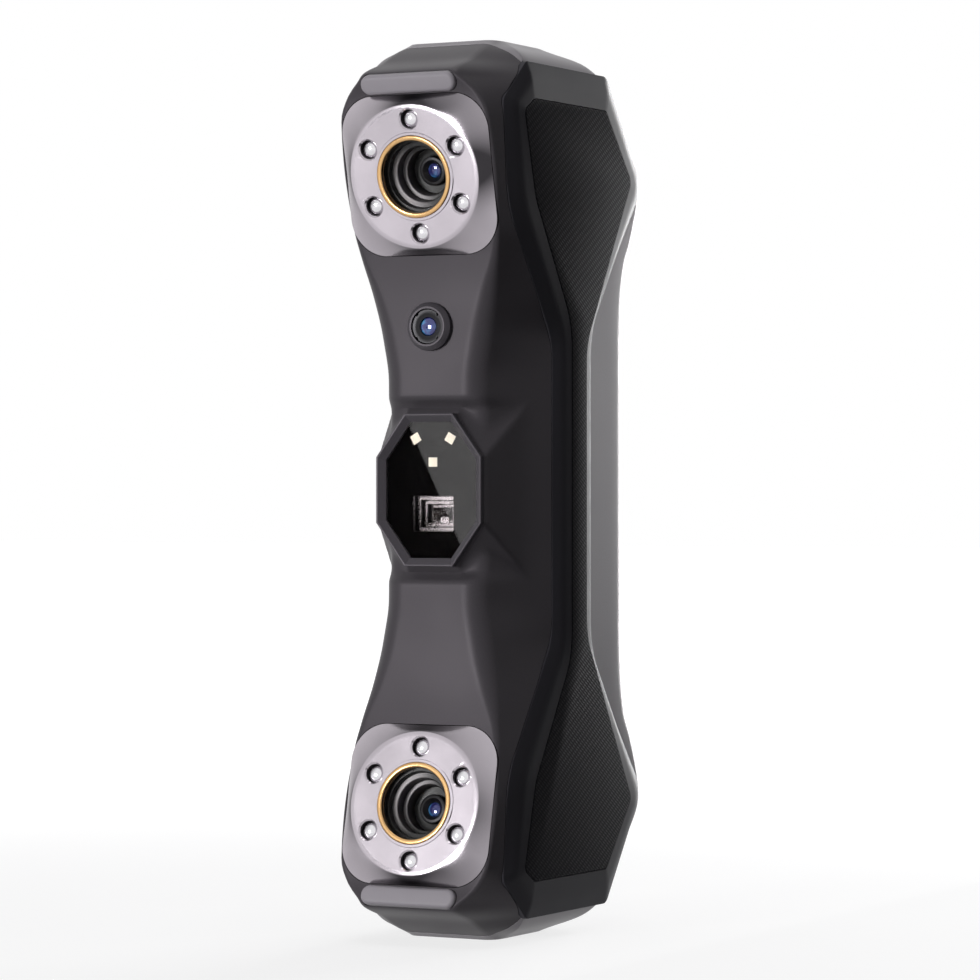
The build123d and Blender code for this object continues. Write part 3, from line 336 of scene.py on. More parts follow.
@dataclass
class Skin:
    """Rings of points that become a mesh."""

    rings: list[Points]
    ring_closed: bool = True         # each ring runs back to its first point
    loop: bool = False               # the last ring runs back to the first
    start_cap: bool = True
    end_cap: bool = True

    def mesh(self, name: str, place: Place, inside_out: bool = False) -> bpy.types.Mesh:
        """Mesh of the skin.

        Args:
            name: name of the mesh.
            place: frame that the rings are in.
            inside_out: whether its faces look inwards, as on the wall of a hollow.

        Returns:
            The mesh, in metres, in the body's frame.
        """
        count = len(self.rings[0])
        shape = bmesh.new()
        vertices = [shape.verts.new(point) for point in place.to_body(np.vstack(self.rings))]
        rows = len(self.rings)
        for row in range(rows if self.loop else rows - 1):
            below, above = row * count, (row + 1) % rows * count
            for column in range(count if self.ring_closed else count - 1):
                following = (column + 1) % count
                shape.faces.new([
                    vertices[below + column], vertices[below + following],
                    vertices[above + following], vertices[above + column],
                ])
        if self.start_cap and not self.loop:
            shape.faces.new(list(reversed(vertices[:count])))
        if self.end_cap and not self.loop:
            shape.faces.new(vertices[-count:])
        bmesh.ops.recalc_face_normals(shape, faces=shape.faces)
        if inside_out:
            bmesh.ops.reverse_faces(shape, faces=shape.faces)
        mesh = bpy.data.meshes.new(name)
        shape.to_mesh(mesh)
        shape.free()
        return mesh


def prism(corners: Sequence[Corner], low: float, high: float, arc: int = 8) -> Skin:
    """Straight block of an outline between two heights."""
    flat = outline(corners, arc)
    return Skin([lifted(flat, low), lifted(flat, high)])


def soft_block(corners: Sequence[Corner], low: float, high: float, edge: float,
               arc: int = 8, steps: int = 5) -> Skin:
    """Block of an outline whose upper edge is rounded.

    Args:
        corners: the outline.
        low: height of its base.
        high: height of its top.
        edge: radius of the rounded edge.
        arc: steps in each corner of the outline.
        steps: steps in the rounded edge.

    Returns:
        The block.
    """
    rings = [lifted(outline(corners, arc), low)]
    for step in range(steps + 1):
        angle = math.pi / 2 * step / steps
        flat = outline(inset(corners, edge * (1 - math.cos(angle))), arc)
        rings.append(lifted(flat, high - edge * (1 - math.sin(angle))))
    return Skin(rings)


def cylinder(radius: float, low: float, high: float, steps: int = 64) -> Skin:
    """Round block between two heights."""
    return Skin(turned_rings([(radius, low), (radius, high)], steps))


def new_object(name: str, meshes: Sequence[bpy.types.Mesh]) -> bpy.types.Object:
    """Object of one or more meshes joined together.

    Args:
        name: name of the object.
        meshes: the meshes, which are used up.

    Returns:
        The object, in the scene.
    """
    shape = bmesh.new()
    for mesh in meshes:
        shape.from_mesh(mesh)
    joined = bpy.data.meshes.new(name)
    shape.to_mesh(joined)
    shape.free()
    for mesh in meshes:
        bpy.data.meshes.remove(mesh)
    made = bpy.data.objects.new(name, joined)
    bpy.context.scene.collection.objects.link(made)
    return made


def form(name: str, *skins: Skin, place: Place = WHOLE) -> bpy.types.Object:
    """Object made of skins that share a frame."""
    return new_object(name, [skin.mesh(name, place) for skin in skins])


def carve(target: bpy.types.Object, tools: Sequence[bpy.types.Object]) -> None:
    """Take the tools' volumes out of the target, and throw the tools away.

    Args:
        target: the piece that is cut.
        tools: closed shapes that cut it.
    """
    group = bpy.data.collections.new(f"{target.name}_tools")
    for tool in tools:
        group.objects.link(tool)
    cut = target.modifiers.new("carve", "BOOLEAN")
    cut.operation = "DIFFERENCE"
    cut.operand_type = "COLLECTION"
    cut.collection = group
    cut.solver = "EXACT"
    cut.use_self = True
    bpy.context.view_layer.update()
    graph = bpy.context.evaluated_depsgraph_get()
    carved = bpy.data.meshes.new_from_object(target.evaluated_get(graph))
    target.modifiers.clear()
    old = target.data
    target.data = carved
    bpy.data.meshes.remove(old)
    for tool in tools:
        mesh = tool.data
        bpy.data.objects.remove(tool)
        bpy.data.meshes.remove(mesh)
    bpy.data.collections.remove(group)


def tidied(shape: bpy.types.Object, sharp: float = 32.0) -> bpy.types.Object:
    """Shade a mesh smooth with its edges crisp beyond an angle, and drop doubled points.

    Args:
        shape: the piece.
        sharp: angle in degrees beyond which its edges stay crisp.

    Returns:
        The same piece.
    """
    mesh = shape.data
    work = bmesh.new()
    work.from_mesh(mesh)
    bmesh.ops.remove_doubles(work, verts=work.verts, dist=1e-6)
    work.to_mesh(mesh)
    work.free()
    mesh.polygons.foreach_set("use_smooth", [True] * len(mesh.polygons))
    mesh.set_sharp_from_angle(angle=math.radians(sharp))
    return shape


# ---- shader sums --------------------------------------------------------------------------------
def srgb(red: int, green: int, blue: int) -> Colour:
    """Linear colour of a screen colour from 0 to 255.

    Args:
        red: red part.
        green: green part.
        blue: blue part.

    Returns:
        The linear colour.
    """
    def linear(value: int) -> float:
        """One channel as linear light."""
        share = value / 255
        return share / 12.92 if share <= 0.04045 else ((share + 0.055) / 1.055) ** 2.4
    return (linear(red), linear(green), linear(blue), 1.0)


def scaled(colour: Colour, factor: float) -> Colour:
    """A colour made lighter or darker."""
    return tuple(min(1.0, part * factor) for part in colour[:3]) + (1.0,)


class Signal:
    """A node's output that can be used in sums."""

    def __init__(self, sheet: "NodeSheet", socket: bpy.types.NodeSocket) -> None:
        """Wrap a socket of a sheet's tree."""
        self.sheet = sheet
        self.socket = socket

    def __add__(self, other: "Value") -> "Signal":
        """Sum of the two."""
        return self.sheet.math("ADD", self, other)

    __radd__ = __add__

    def __sub__(self, other: "Value") -> "Signal":
        """Difference of the two."""
        return self.sheet.math("SUBTRACT", self, other)

    def __rsub__(self, other: "Value") -> "Signal":
        """Difference of a number and this."""
        return self.sheet.math("SUBTRACT", other, self)

    def __mul__(self, other: "Value") -> "Signal":
        """Product of the two."""
        return self.sheet.math("MULTIPLY", self, other)

    __rmul__ = __mul__

    def __truediv__(self, other: "Value") -> "Signal":
        """Quotient of the two."""
        return self.sheet.math("DIVIDE", self, other)

    def __pow__(self, other: "Value") -> "Signal":
        """This to a power."""
        return self.sheet.math("POWER", self, other)

    def wave(self) -> "Signal":
        """Sine of this."""
        return self.sheet.math("SINE", self)

    def size(self) -> "Signal":
        """This without its sign."""
        return self.sheet.math("ABSOLUTE", self)

    def span(self, low: float, high: float) -> "Signal":
        """0 below a lowest value, 1 above a highest one, and smooth between them.

        Args:
            low: the lowest value.
            high: the highest value.

        Returns:
            The smooth share between them.
        """
        return self.sheet.node(
            "ShaderNodeMapRange",
            {"interpolation_type": "SMOOTHSTEP"},
            {"Value": self, "From Min": low, "From Max": high},
        )


Value = Union[Signal, float]


class NodeSheet:
    """The nodes of one material, or of the surroundings."""

    def __init__(self, owner: "bpy.types.Material | bpy.types.World") -> None:
        """Start with no nodes.

        Args:
            owner: the material or world that the nodes belong to.
        """
        self.owner = owner
        owner.use_nodes = True
        self.tree = owner.node_tree
        self.tree.nodes.clear()

    def node(self, kind: str, settings: dict | None = None, inputs: dict | None = None,
             output: int | str = 0) -> "Signal | None":
        """Add a node.

        Args:
            kind: the node's type.
            settings: its properties, set first; "stops" are a ramp's (place, colour) pairs.
            inputs: a value or a signal for each socket.
            output: the socket to read.

        Returns:
            The signal of that socket, or nothing from a node without outputs.
        """
        made = self.tree.nodes.new(kind)
        for setting, value in (settings or {}).items():
            if setting == "stops":
                ramp = made.color_ramp
                for place, colour in value[2:]:
                    ramp.elements.new(place).color = colour
                for element, (place, colour) in zip((ramp.elements[0], ramp.elements[-1]), value[:2]):
                    element.position, element.color = place, colour
            else:
                setattr(made, setting, value)
        for socket, value in (inputs or {}).items():
            if isinstance(value, Signal):
                self.tree.links.new(value.socket, made.inputs[socket])
            else:
                made.inputs[socket].default_value = value
        return Signal(self, made.outputs[output]) if made.outputs else None

    def math(self, operation: str, *values: Value) -> Signal:
        """A sum of signals and numbers."""
        return self.node("ShaderNodeMath", {"operation": operation}, dict(enumerate(values)))

    def mix(self, factor: Value, first: "Signal | Colour", second: "Signal | Colour") -> Signal:
        """Colour between two colours."""
        inputs = {0: factor, 6: first, 7: second}
        return self.node("ShaderNodeMix", {"data_type": "RGBA"}, inputs, output=2)

    def position(self) -> Signal:
        """Place on the piece at rest."""
        return self.node("ShaderNodeTexCoord", output="Object")

    def axis(self, position: Signal, name: str) -> Signal:
        """One coordinate of a position, in millimetres."""
        return self.node("ShaderNodeSeparateXYZ", inputs={0: position}, output=name) * (1 / MM)

    def noise(self, size: float, detail: float = 2.0, stretch: tuple = (1.0, 1.0, 1.0)) -> Signal:
        """Cloudy noise whose spots are about a size in millimetres across.

        Args:
            size: size of a spot in millimetres.
            detail: how much finer detail it has.
            stretch: stretch along each axis.

        Returns:
            The noise, from 0 to 1.
        """
        place = self.node(
            "ShaderNodeVectorMath", {"operation": "MULTIPLY"}, {0: self.position(), 1: stretch}
        )
        return self.node("ShaderNodeTexNoise", inputs={"Vector": place, "Scale": 1 / (size * MM),
                                                       "Detail": detail})

    def mark(self, name: str) -> Signal:
        """A value that the mesh carries at its points."""
        return self.node("ShaderNodeAttribute", {"attribute_name": name}, output="Fac")

    def seen(self) -> Signal:
        """1 or more on the rays by which the camera, metal or glass sees a background."""
        rays = ("Is Camera Ray", "Is Glossy Ray", "Is Transmission Ray")
        return sum(self.node("ShaderNodeLightPath", output=ray) for ray in rays)

    def bump(self, height: Signal, strength: float, depth: float,
             under: Signal | None = None) -> Signal:
        """Normal of a fine relief.

        Args:
            height: the relief, from 0 to 1.
            strength: how much of it shows.
            depth: its depth in millimetres.
            under: another relief that it lies on.

        Returns:
            The normal.
        """
        inputs = {"Strength": strength, "Distance": depth * MM, "Height": height}
        if under is not None:
            inputs["Normal"] = under
        return self.node("ShaderNodeBump", inputs=inputs)

    def surface(self, inputs: dict) -> bpy.types.Material:
        """Finish the material with a surface of these sockets.

        Args:
            inputs: a value or a signal for each socket of the surface.

        Returns:
            The material.
        """
        shader = self.node("ShaderNodeBsdfPrincipled", inputs=inputs)
        self.node("ShaderNodeOutputMaterial", inputs={"Surface": shader})
        return self.owner


# ---- finishes -----------------------------------------------------------------------------------
@dataclass(frozen=True)
class Finish:
    """A finish that is made once and shared by the pieces that have it."""

    name: str

    def paint(self, sheet: NodeSheet) -> bpy.types.Material:
        """Fill the sheet."""
        raise NotImplementedError

    def material(self) -> bpy.types.Material:
        """The finish's material."""
        name = f"{self.name}_finish"
        return bpy.data.materials.get(name) or self.paint(NodeSheet(bpy.data.materials.new(name)))


@dataclass(frozen=True)
class MouldedPlastic(Finish):
    """Matt plastic with the fine spark-eroded grain of its mould."""

    colour: Colour = srgb(80, 76, 82)
    roughness: float = 0.5
    grain: float = 0.35              # size of the grain in millimetres
    grain_depth: float = 0.012
    handling: float = 0.06           # how much sheen varies where hands have been
    specular: float = 0.15
    sheen_tint: Colour = (1.0, 0.92, 1.0, 1.0)

    def paint(self, sheet: NodeSheet) -> bpy.types.Material:
        """Colour that drifts slightly, with grain in the roughness and the relief.

        Args:
            sheet: the empty sheet to fill.

        Returns:
            The finished material.
        """
        cloud = sheet.noise(26.0, 3.0).span(0.3, 0.7)
        pits = sheet.noise(self.grain, 2.0)
        fine = sheet.noise(self.grain / 3, 1.0)
        colour = sheet.mix(cloud, scaled(self.colour, 0.95), scaled(self.colour, 1.05))
        colour = sheet.mix(pits.span(0.35, 0.65) * 0.5, scaled(self.colour, 0.9), colour)
        rough = self.roughness + (cloud - 0.5) * self.handling + (pits - 0.5) * 0.1
        relief = sheet.bump(pits * 0.7 + fine * 0.3, 0.5, self.grain_depth)
        return sheet.surface({
            "Base Color": colour, "Roughness": rough, "Normal": relief,
            "Specular IOR Level": self.specular, "Specular Tint": self.sheen_tint,
        })


@dataclass(frozen=True)
class WovenGrip(Finish):
    """Rubber moulded with a fine slanting weave."""

    colour: Colour = srgb(34, 33, 37)
    pitch: float = 0.9               # distance between the ribs, in millimetres
    slant: float = 0.62              # run of a rib along the body for each step across it

    def paint(self, sheet: NodeSheet) -> bpy.types.Material:
        """Two sets of slanting ribs that pass over and under each other.

        Args:
            sheet: the empty sheet to fill.

        Returns:
            The finished material.
        """
        place = sheet.position()
        across, along = sheet.axis(place, "Y"), sheet.axis(place, "Z")
        turn = math.tau / self.pitch
        rising = ((along + across * self.slant) * turn).wave()
        falling = ((along - across * self.slant) * (turn * 0.5)).wave()
        weave = (rising * 0.6 + falling * 0.4 + 1.0) * 0.5
        dust = sheet.noise(0.25, 2.0)
        cloud = sheet.noise(18.0, 3.0)
        crest = weave.span(0.45, 0.95)
        colour = sheet.mix(crest, scaled(self.colour, 0.7), scaled(self.colour, 1.15))
        colour = sheet.mix(cloud.span(0.4, 0.8) * 0.15, colour, scaled(self.colour, 1.2))
        rough = 0.78 - crest * 0.14 + (dust - 0.5) * 0.2
        relief = sheet.bump(weave + dust * 0.15, 0.6, 0.12)
        return sheet.surface({
            "Base Color": colour, "Roughness": rough, "Normal": relief, "Specular IOR Level": 0.05,
        })


@dataclass(frozen=True)
class SatinMetal(Finish):
    """Bead-blasted or turned metal."""

    colour: Colour = srgb(214, 208, 214)
    roughness: float = 0.34
    lay: tuple = (1.0, 1.0, 1.0)     # stretch of the machining marks
    marks: float = 0.3               # their size in millimetres
    tone: str = ""                   # name of the points' value that paints light onto the metal: painted shade, or on the well's ledges a painted highlight
    # colour that the painted light moves the metal to
    painted_light_colour: Colour = srgb(60, 58, 64)
    metallic: float = 1.0

    def paint(self, sheet: NodeSheet) -> bpy.types.Material:
        """Fine marks in the roughness and relief over slightly uneven metal.

        Args:
            sheet: the empty sheet to fill.

        Returns:
            The finished material.
        """
        marks = sheet.noise(self.marks, 3.0, self.lay)
        cloud = sheet.noise(14.0, 3.0)
        colour = sheet.mix(cloud.span(0.35, 0.7), scaled(self.colour, 0.93), self.colour)
        # Painted light: the points' value moves the colour to the painted shade or painted highlight
        # colour.
        if self.tone:
            colour = sheet.mix(sheet.mark(self.tone), colour, self.painted_light_colour)
        rough = self.roughness + (marks - 0.5) * 0.16 + (cloud - 0.5) * 0.08
        relief = sheet.bump(marks, 0.25, 0.01)
        return sheet.surface({
            "Base Color": colour, "Roughness": rough, "Metallic": self.metallic, "Normal": relief,
        })


@dataclass(frozen=True)
class SoftRubber(Finish):
    """Silicone or elastomer with a dusty sheen."""

    colour: Colour = srgb(128, 123, 129)
    roughness: float = 0.62

    def paint(self, sheet: NodeSheet) -> bpy.types.Material:
        """Fine dull skin with a little dust.

        Args:
            sheet: the empty sheet to fill.

        Returns:
            The finished material.
        """
        skin = sheet.noise(0.2, 2.0)
        dust = sheet.noise(6.0, 4.0).span(0.45, 0.75)
        colour = sheet.mix(dust * 0.25, self.colour, scaled(self.colour, 1.2))
        rough = self.roughness + (skin - 0.5) * 0.15 + dust * 0.06
        relief = sheet.bump(skin, 0.35, 0.012)
        return sheet.surface({
            "Base Color": colour, "Roughness": rough, "Normal": relief, "Sheen Weight": 0.12,
        })


@dataclass(frozen=True)
class CoatedLens(Finish):
    """Lens with a coloured coating, violet to blue at a slant and dark straight on."""

    deep: Colour = srgb(36, 44, 120)
    rim: Colour = srgb(70, 160, 220)

    def paint(self, sheet: NodeSheet) -> bpy.types.Material:
        """Dark glass whose colour moves from violet to blue across the dome.

        Args:
            sheet: the empty sheet to fill.

        Returns:
            The finished material.
        """
        edge = sheet.node("ShaderNodeLayerWeight", inputs={"Blend": 0.35}, output="Facing")
        streak = sheet.noise(1.6, 1.0).span(0.35, 0.65)
        tint = sheet.mix(streak, srgb(104, 84, 180), self.rim)
        colour = sheet.mix((edge * 1.3 + streak * 0.3).span(0.15, 0.9), self.deep, tint)
        smear = sheet.noise(2.2, 3.0)
        return sheet.surface({
            "Base Color": colour, "Roughness": 0.03 + smear * 0.06, "Metallic": 0.35,
            "Coat Weight": 1.0, "Coat Roughness": 0.02, "IOR": 1.6,
        })


@dataclass(frozen=True)
class ClearPane(Finish):
    """Flat pane that lets most light through."""

    colour: Colour = srgb(18, 18, 20)
    opacity: float = 0.3
    specular: float = 0.5
    transmission: float = 0.0

    def paint(self, sheet: NodeSheet) -> bpy.types.Material:
        """Tinted glass with faint smears in its polish.

        Args:
            sheet: the empty sheet to fill.

        Returns:
            The finished material.
        """
        smear = sheet.noise(7.0, 3.0)
        body = sheet.mix(smear.span(0.4, 0.7), scaled(self.colour, 0.9), scaled(self.colour, 1.1))
        cover = sheet.math("MINIMUM", self.opacity + (smear - 0.5) * 0.02, 1.0)
        return sheet.surface({
            "Base Color": body, "Roughness": smear * 0.02, "Alpha": cover,
            "Specular IOR Level": self.specular, "Transmission Weight": self.transmission,
        })


@dataclass(frozen=True)
class LedDome(Finish):
    """Clear epoxy dome over a bright reflector cup."""

    def paint(self, sheet: NodeSheet) -> bpy.types.Material:
        """Mirror-like dome, greyer towards its foot, with painted shade on its upper-left side.

        Args:
            sheet: the empty sheet to fill.

        Returns:
            The finished material.
        """
        edge = sheet.node("ShaderNodeLayerWeight", inputs={"Blend": 0.5}, output="Facing")
        ripple = sheet.noise(0.9, 1.0)
        colour = sheet.mix((edge + (ripple - 0.5) * 0.4).span(0.2, 0.95), srgb(228, 226, 230),
                           srgb(92, 90, 96))
        # Painted shade on the dome's upper-left side.
        colour = sheet.mix(sheet.mark("tone"), colour, srgb(30, 28, 32))
        return sheet.surface({
            "Base Color": colour, "Roughness": 0.1 + ripple * 0.08, "Metallic": 0.82,
            "Coat Weight": 1.0, "Coat Roughness": 0.03,
        })


@dataclass(frozen=True)
class Phosphor(Finish):
    """Face of a flash LED: a pale ceramic package with a cream phosphor."""

    def paint(self, sheet: NodeSheet) -> bpy.types.Material:
        """Cream colour, slightly speckled, with a faint glow that is painted light.

        Args:
            sheet: the empty sheet to fill.

        Returns:
            The finished material.
        """
        speck = sheet.noise(0.15, 2.0)
        colour = sheet.mix(speck.span(0.35, 0.65), srgb(244, 236, 208), srgb(255, 252, 240))
        return sheet.surface({
            "Base Color": colour, "Roughness": 0.35 + speck * 0.2,
            # Painted light: a faint glow that keeps the phosphor bright behind the dark glass.
            "Emission Color": colour, "Emission Strength": 0.9,
        })


@dataclass(frozen=True)
class CircuitBoard(Finish):
    """Solder-masked board with its tracks in faint relief."""

    colour: Colour = srgb(18, 44, 30)

    def paint(self, sheet: NodeSheet) -> bpy.types.Material:
        """Tracks as the edges of blocky cells under the mask.

        Args:
            sheet: the empty sheet to fill.

        Returns:
            The finished material.
        """
        cells = sheet.node(
            "ShaderNodeTexVoronoi", {"distance": "CHEBYCHEV", "feature": "F1"},
            {"Vector": sheet.position(), "Scale": 1 / (1.8 * MM), "Randomness": 0.6},
        )
        track = cells.span(0.32, 0.36)
        dust = sheet.noise(0.4, 2.0)
        colour = sheet.mix(track, scaled(self.colour, 1.5), self.colour)
        relief = sheet.bump(1.0 - track, 0.4, 0.03)
        return sheet.surface({
            "Base Color": colour, "Roughness": 0.3 + dust * 0.15, "Normal": relief,
            "Coat Weight": 0.4 + dust * 0.1,
        })


FRONT_PLASTIC = MouldedPlastic("front_plastic", srgb(67, 64, 68), 0.43, specular=0.2)
# Painted light: the rear shell is the same dark satin plastic as the front, made paler to stand in for the
# strong rim light on it.
REAR_PLASTIC = MouldedPlastic("rear_plastic", srgb(138, 134, 139), 0.4, specular=0.6)
GRIP_PLASTIC = MouldedPlastic("grip_plastic", srgb(56, 55, 60), 0.5, grain=0.28, specular=0.08)
GRIP_WEAVE = WovenGrip("grip_weave")
BEZEL_PLASTIC = MouldedPlastic("bezel_plastic", srgb(74, 71, 76), 0.38, grain=0.25, specular=0.25)
PANEL_PLASTIC = MouldedPlastic("panel_plastic", srgb(50, 48, 53), 0.4, grain=0.25, specular=0.2)
# The lens plates carry painted shade, which darkens them towards their painted-light colour.
PLATE_METAL = SatinMetal("plate_metal", srgb(189, 182, 189), 0.19, tone="tone", metallic=0.8,
                         painted_light_colour=srgb(30, 28, 32))
BRASS = SatinMetal("brass", srgb(196, 158, 110), 0.22, marks=0.15)
BLACK_METAL = SatinMetal("black_metal", srgb(34, 33, 36), 0.4, marks=0.2, metallic=0.6)
# The well's dark metal is lightened to a painted highlight on its ledges.
WELL_METAL = SatinMetal("well_metal", srgb(17, 16, 16), 0.4, marks=0.2, metallic=0.3, tone="tone",
                        painted_light_colour=srgb(118, 114, 116))
ALUMINIUM = SatinMetal("aluminium", srgb(190, 188, 190), 0.36, lay=(1.0, 1.0, 0.15))
BLACK_ANODISED = SatinMetal("black_anodised", srgb(30, 30, 32), 0.45, metallic=0.4)
# The projector's metal mouth is darkened by painted shade.
PROJECTOR_METAL = SatinMetal("projector_metal", srgb(196, 193, 196), 0.28, tone="tone",
                             painted_light_colour=srgb(14, 13, 14))
STEEL = SatinMetal("steel", srgb(168, 166, 166), 0.3, marks=0.12)
BUMPER_RUBBER = SoftRubber("bumper_rubber", srgb(146, 141, 148), 0.55)
BUTTON_RUBBER = SoftRubber("button_rubber", srgb(92, 89, 95), 0.58)
LENS_COATING = CoatedLens("lens_coating")
CLEAR_GLASS = ClearPane("clear_glass", opacity=0.04, specular=0.08)
DARK_GLASS = ClearPane("dark_glass", srgb(226, 222, 222), opacity=1.02, transmission=1.0)
LIGHT_PIPE = ClearPane("light_pipe", srgb(190, 190, 186), opacity=0.9)
LED_DOME = LedDome("led_dome")
PHOSPHOR = Phosphor("phosphor")
BOARD_MASK = CircuitBoard("board_mask")
BLACK_BOARD = CircuitBoard("black_board", srgb(16, 16, 17))
CHIP_RESIN = MouldedPlastic("chip_resin", srgb(30, 30, 32), 0.55, grain=0.12)
# Flat black for the sheet of painted shade behind the window glass, and for the flash board.
MASK_BLACK = MouldedPlastic("mask_black", srgb(23, 22, 23), 0.9, specular=0.0)
SIGN_WHITE = MouldedPlastic("sign_white", srgb(190, 188, 192), 0.45, grain=0.15)
CARD_CLOTH = MouldedPlastic("card_cloth", srgb(24, 24, 24), 0.95, specular=0.02)


# ---- pieces -------------------------------------------------------------------------------------
def settle(piece: bpy.types.Object, finish: Finish, stands_for: Sequence[str] = (),
           body: str = BODY, sharp: float = 32.0) -> bpy.types.Object:
    """Give a new piece its finish and tie it to the frame.

    Args:
        piece: the piece, in place.
        finish: its finish.
        stands_for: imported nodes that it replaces.
        body: the body that it moves with.
        sharp: angle in degrees beyond which its edges stay crisp.

    Returns:
        The same piece.
    """
    tidied(piece, sharp)
    piece.data.materials.clear()
    piece.data.materials.append(finish.material())
    if stands_for:
        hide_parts(*stands_for)
    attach(piece, body)
    LOG.info("%s: %d faces, rides on %s", piece.name, len(piece.data.polygons), body)
    return piece


def dress_nodes(finishes: dict[str, Finish]) -> None:
    """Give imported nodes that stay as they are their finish.

    Args:
        finishes: the finish of each node.
    """
    for name, finish in finishes.items():
        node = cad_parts[name]
        for index in range(len(node.data.materials)):
            node.data.materials[index] = finish.material()
        LOG.info("%s: kept, finished in %s", name, finish.name)


def mark_points(piece: bpy.types.Object, name: str, values: Points) -> None:
    """Store a value at each point of a mesh."""
    store = piece.data.attributes.new(name, "FLOAT", "POINT")
    store.data.foreach_set("value", np.asarray(values, np.float32))


def points_of(piece: bpy.types.Object) -> Points:
    """A mesh's points in millimetres.

    Args:
        piece: the piece.

    Returns:
        One row for each point.
    """
    flat = np.zeros(len(piece.data.vertices) * 3)
    piece.data.vertices.foreach_get("co", flat)
    return flat.reshape(-1, 3) / MM


def smooth_step(low: float, high: float, value: Points) -> Points:
    """0 below low, 1 above high, and smooth between."""
    share = np.clip((value - low) / (high - low), 0.0, 1.0)
    return share * share * (3 - 2 * share)


def soft_min(first: Points, second: Points, reach: float) -> Points:
    """Lower of two values, with a rounded corner where they cross."""
    share = np.clip(0.5 + 0.5 * (second - first) / reach, 0.0, 1.0)
    return second + (first - second) * share - reach * share * (1 - share)


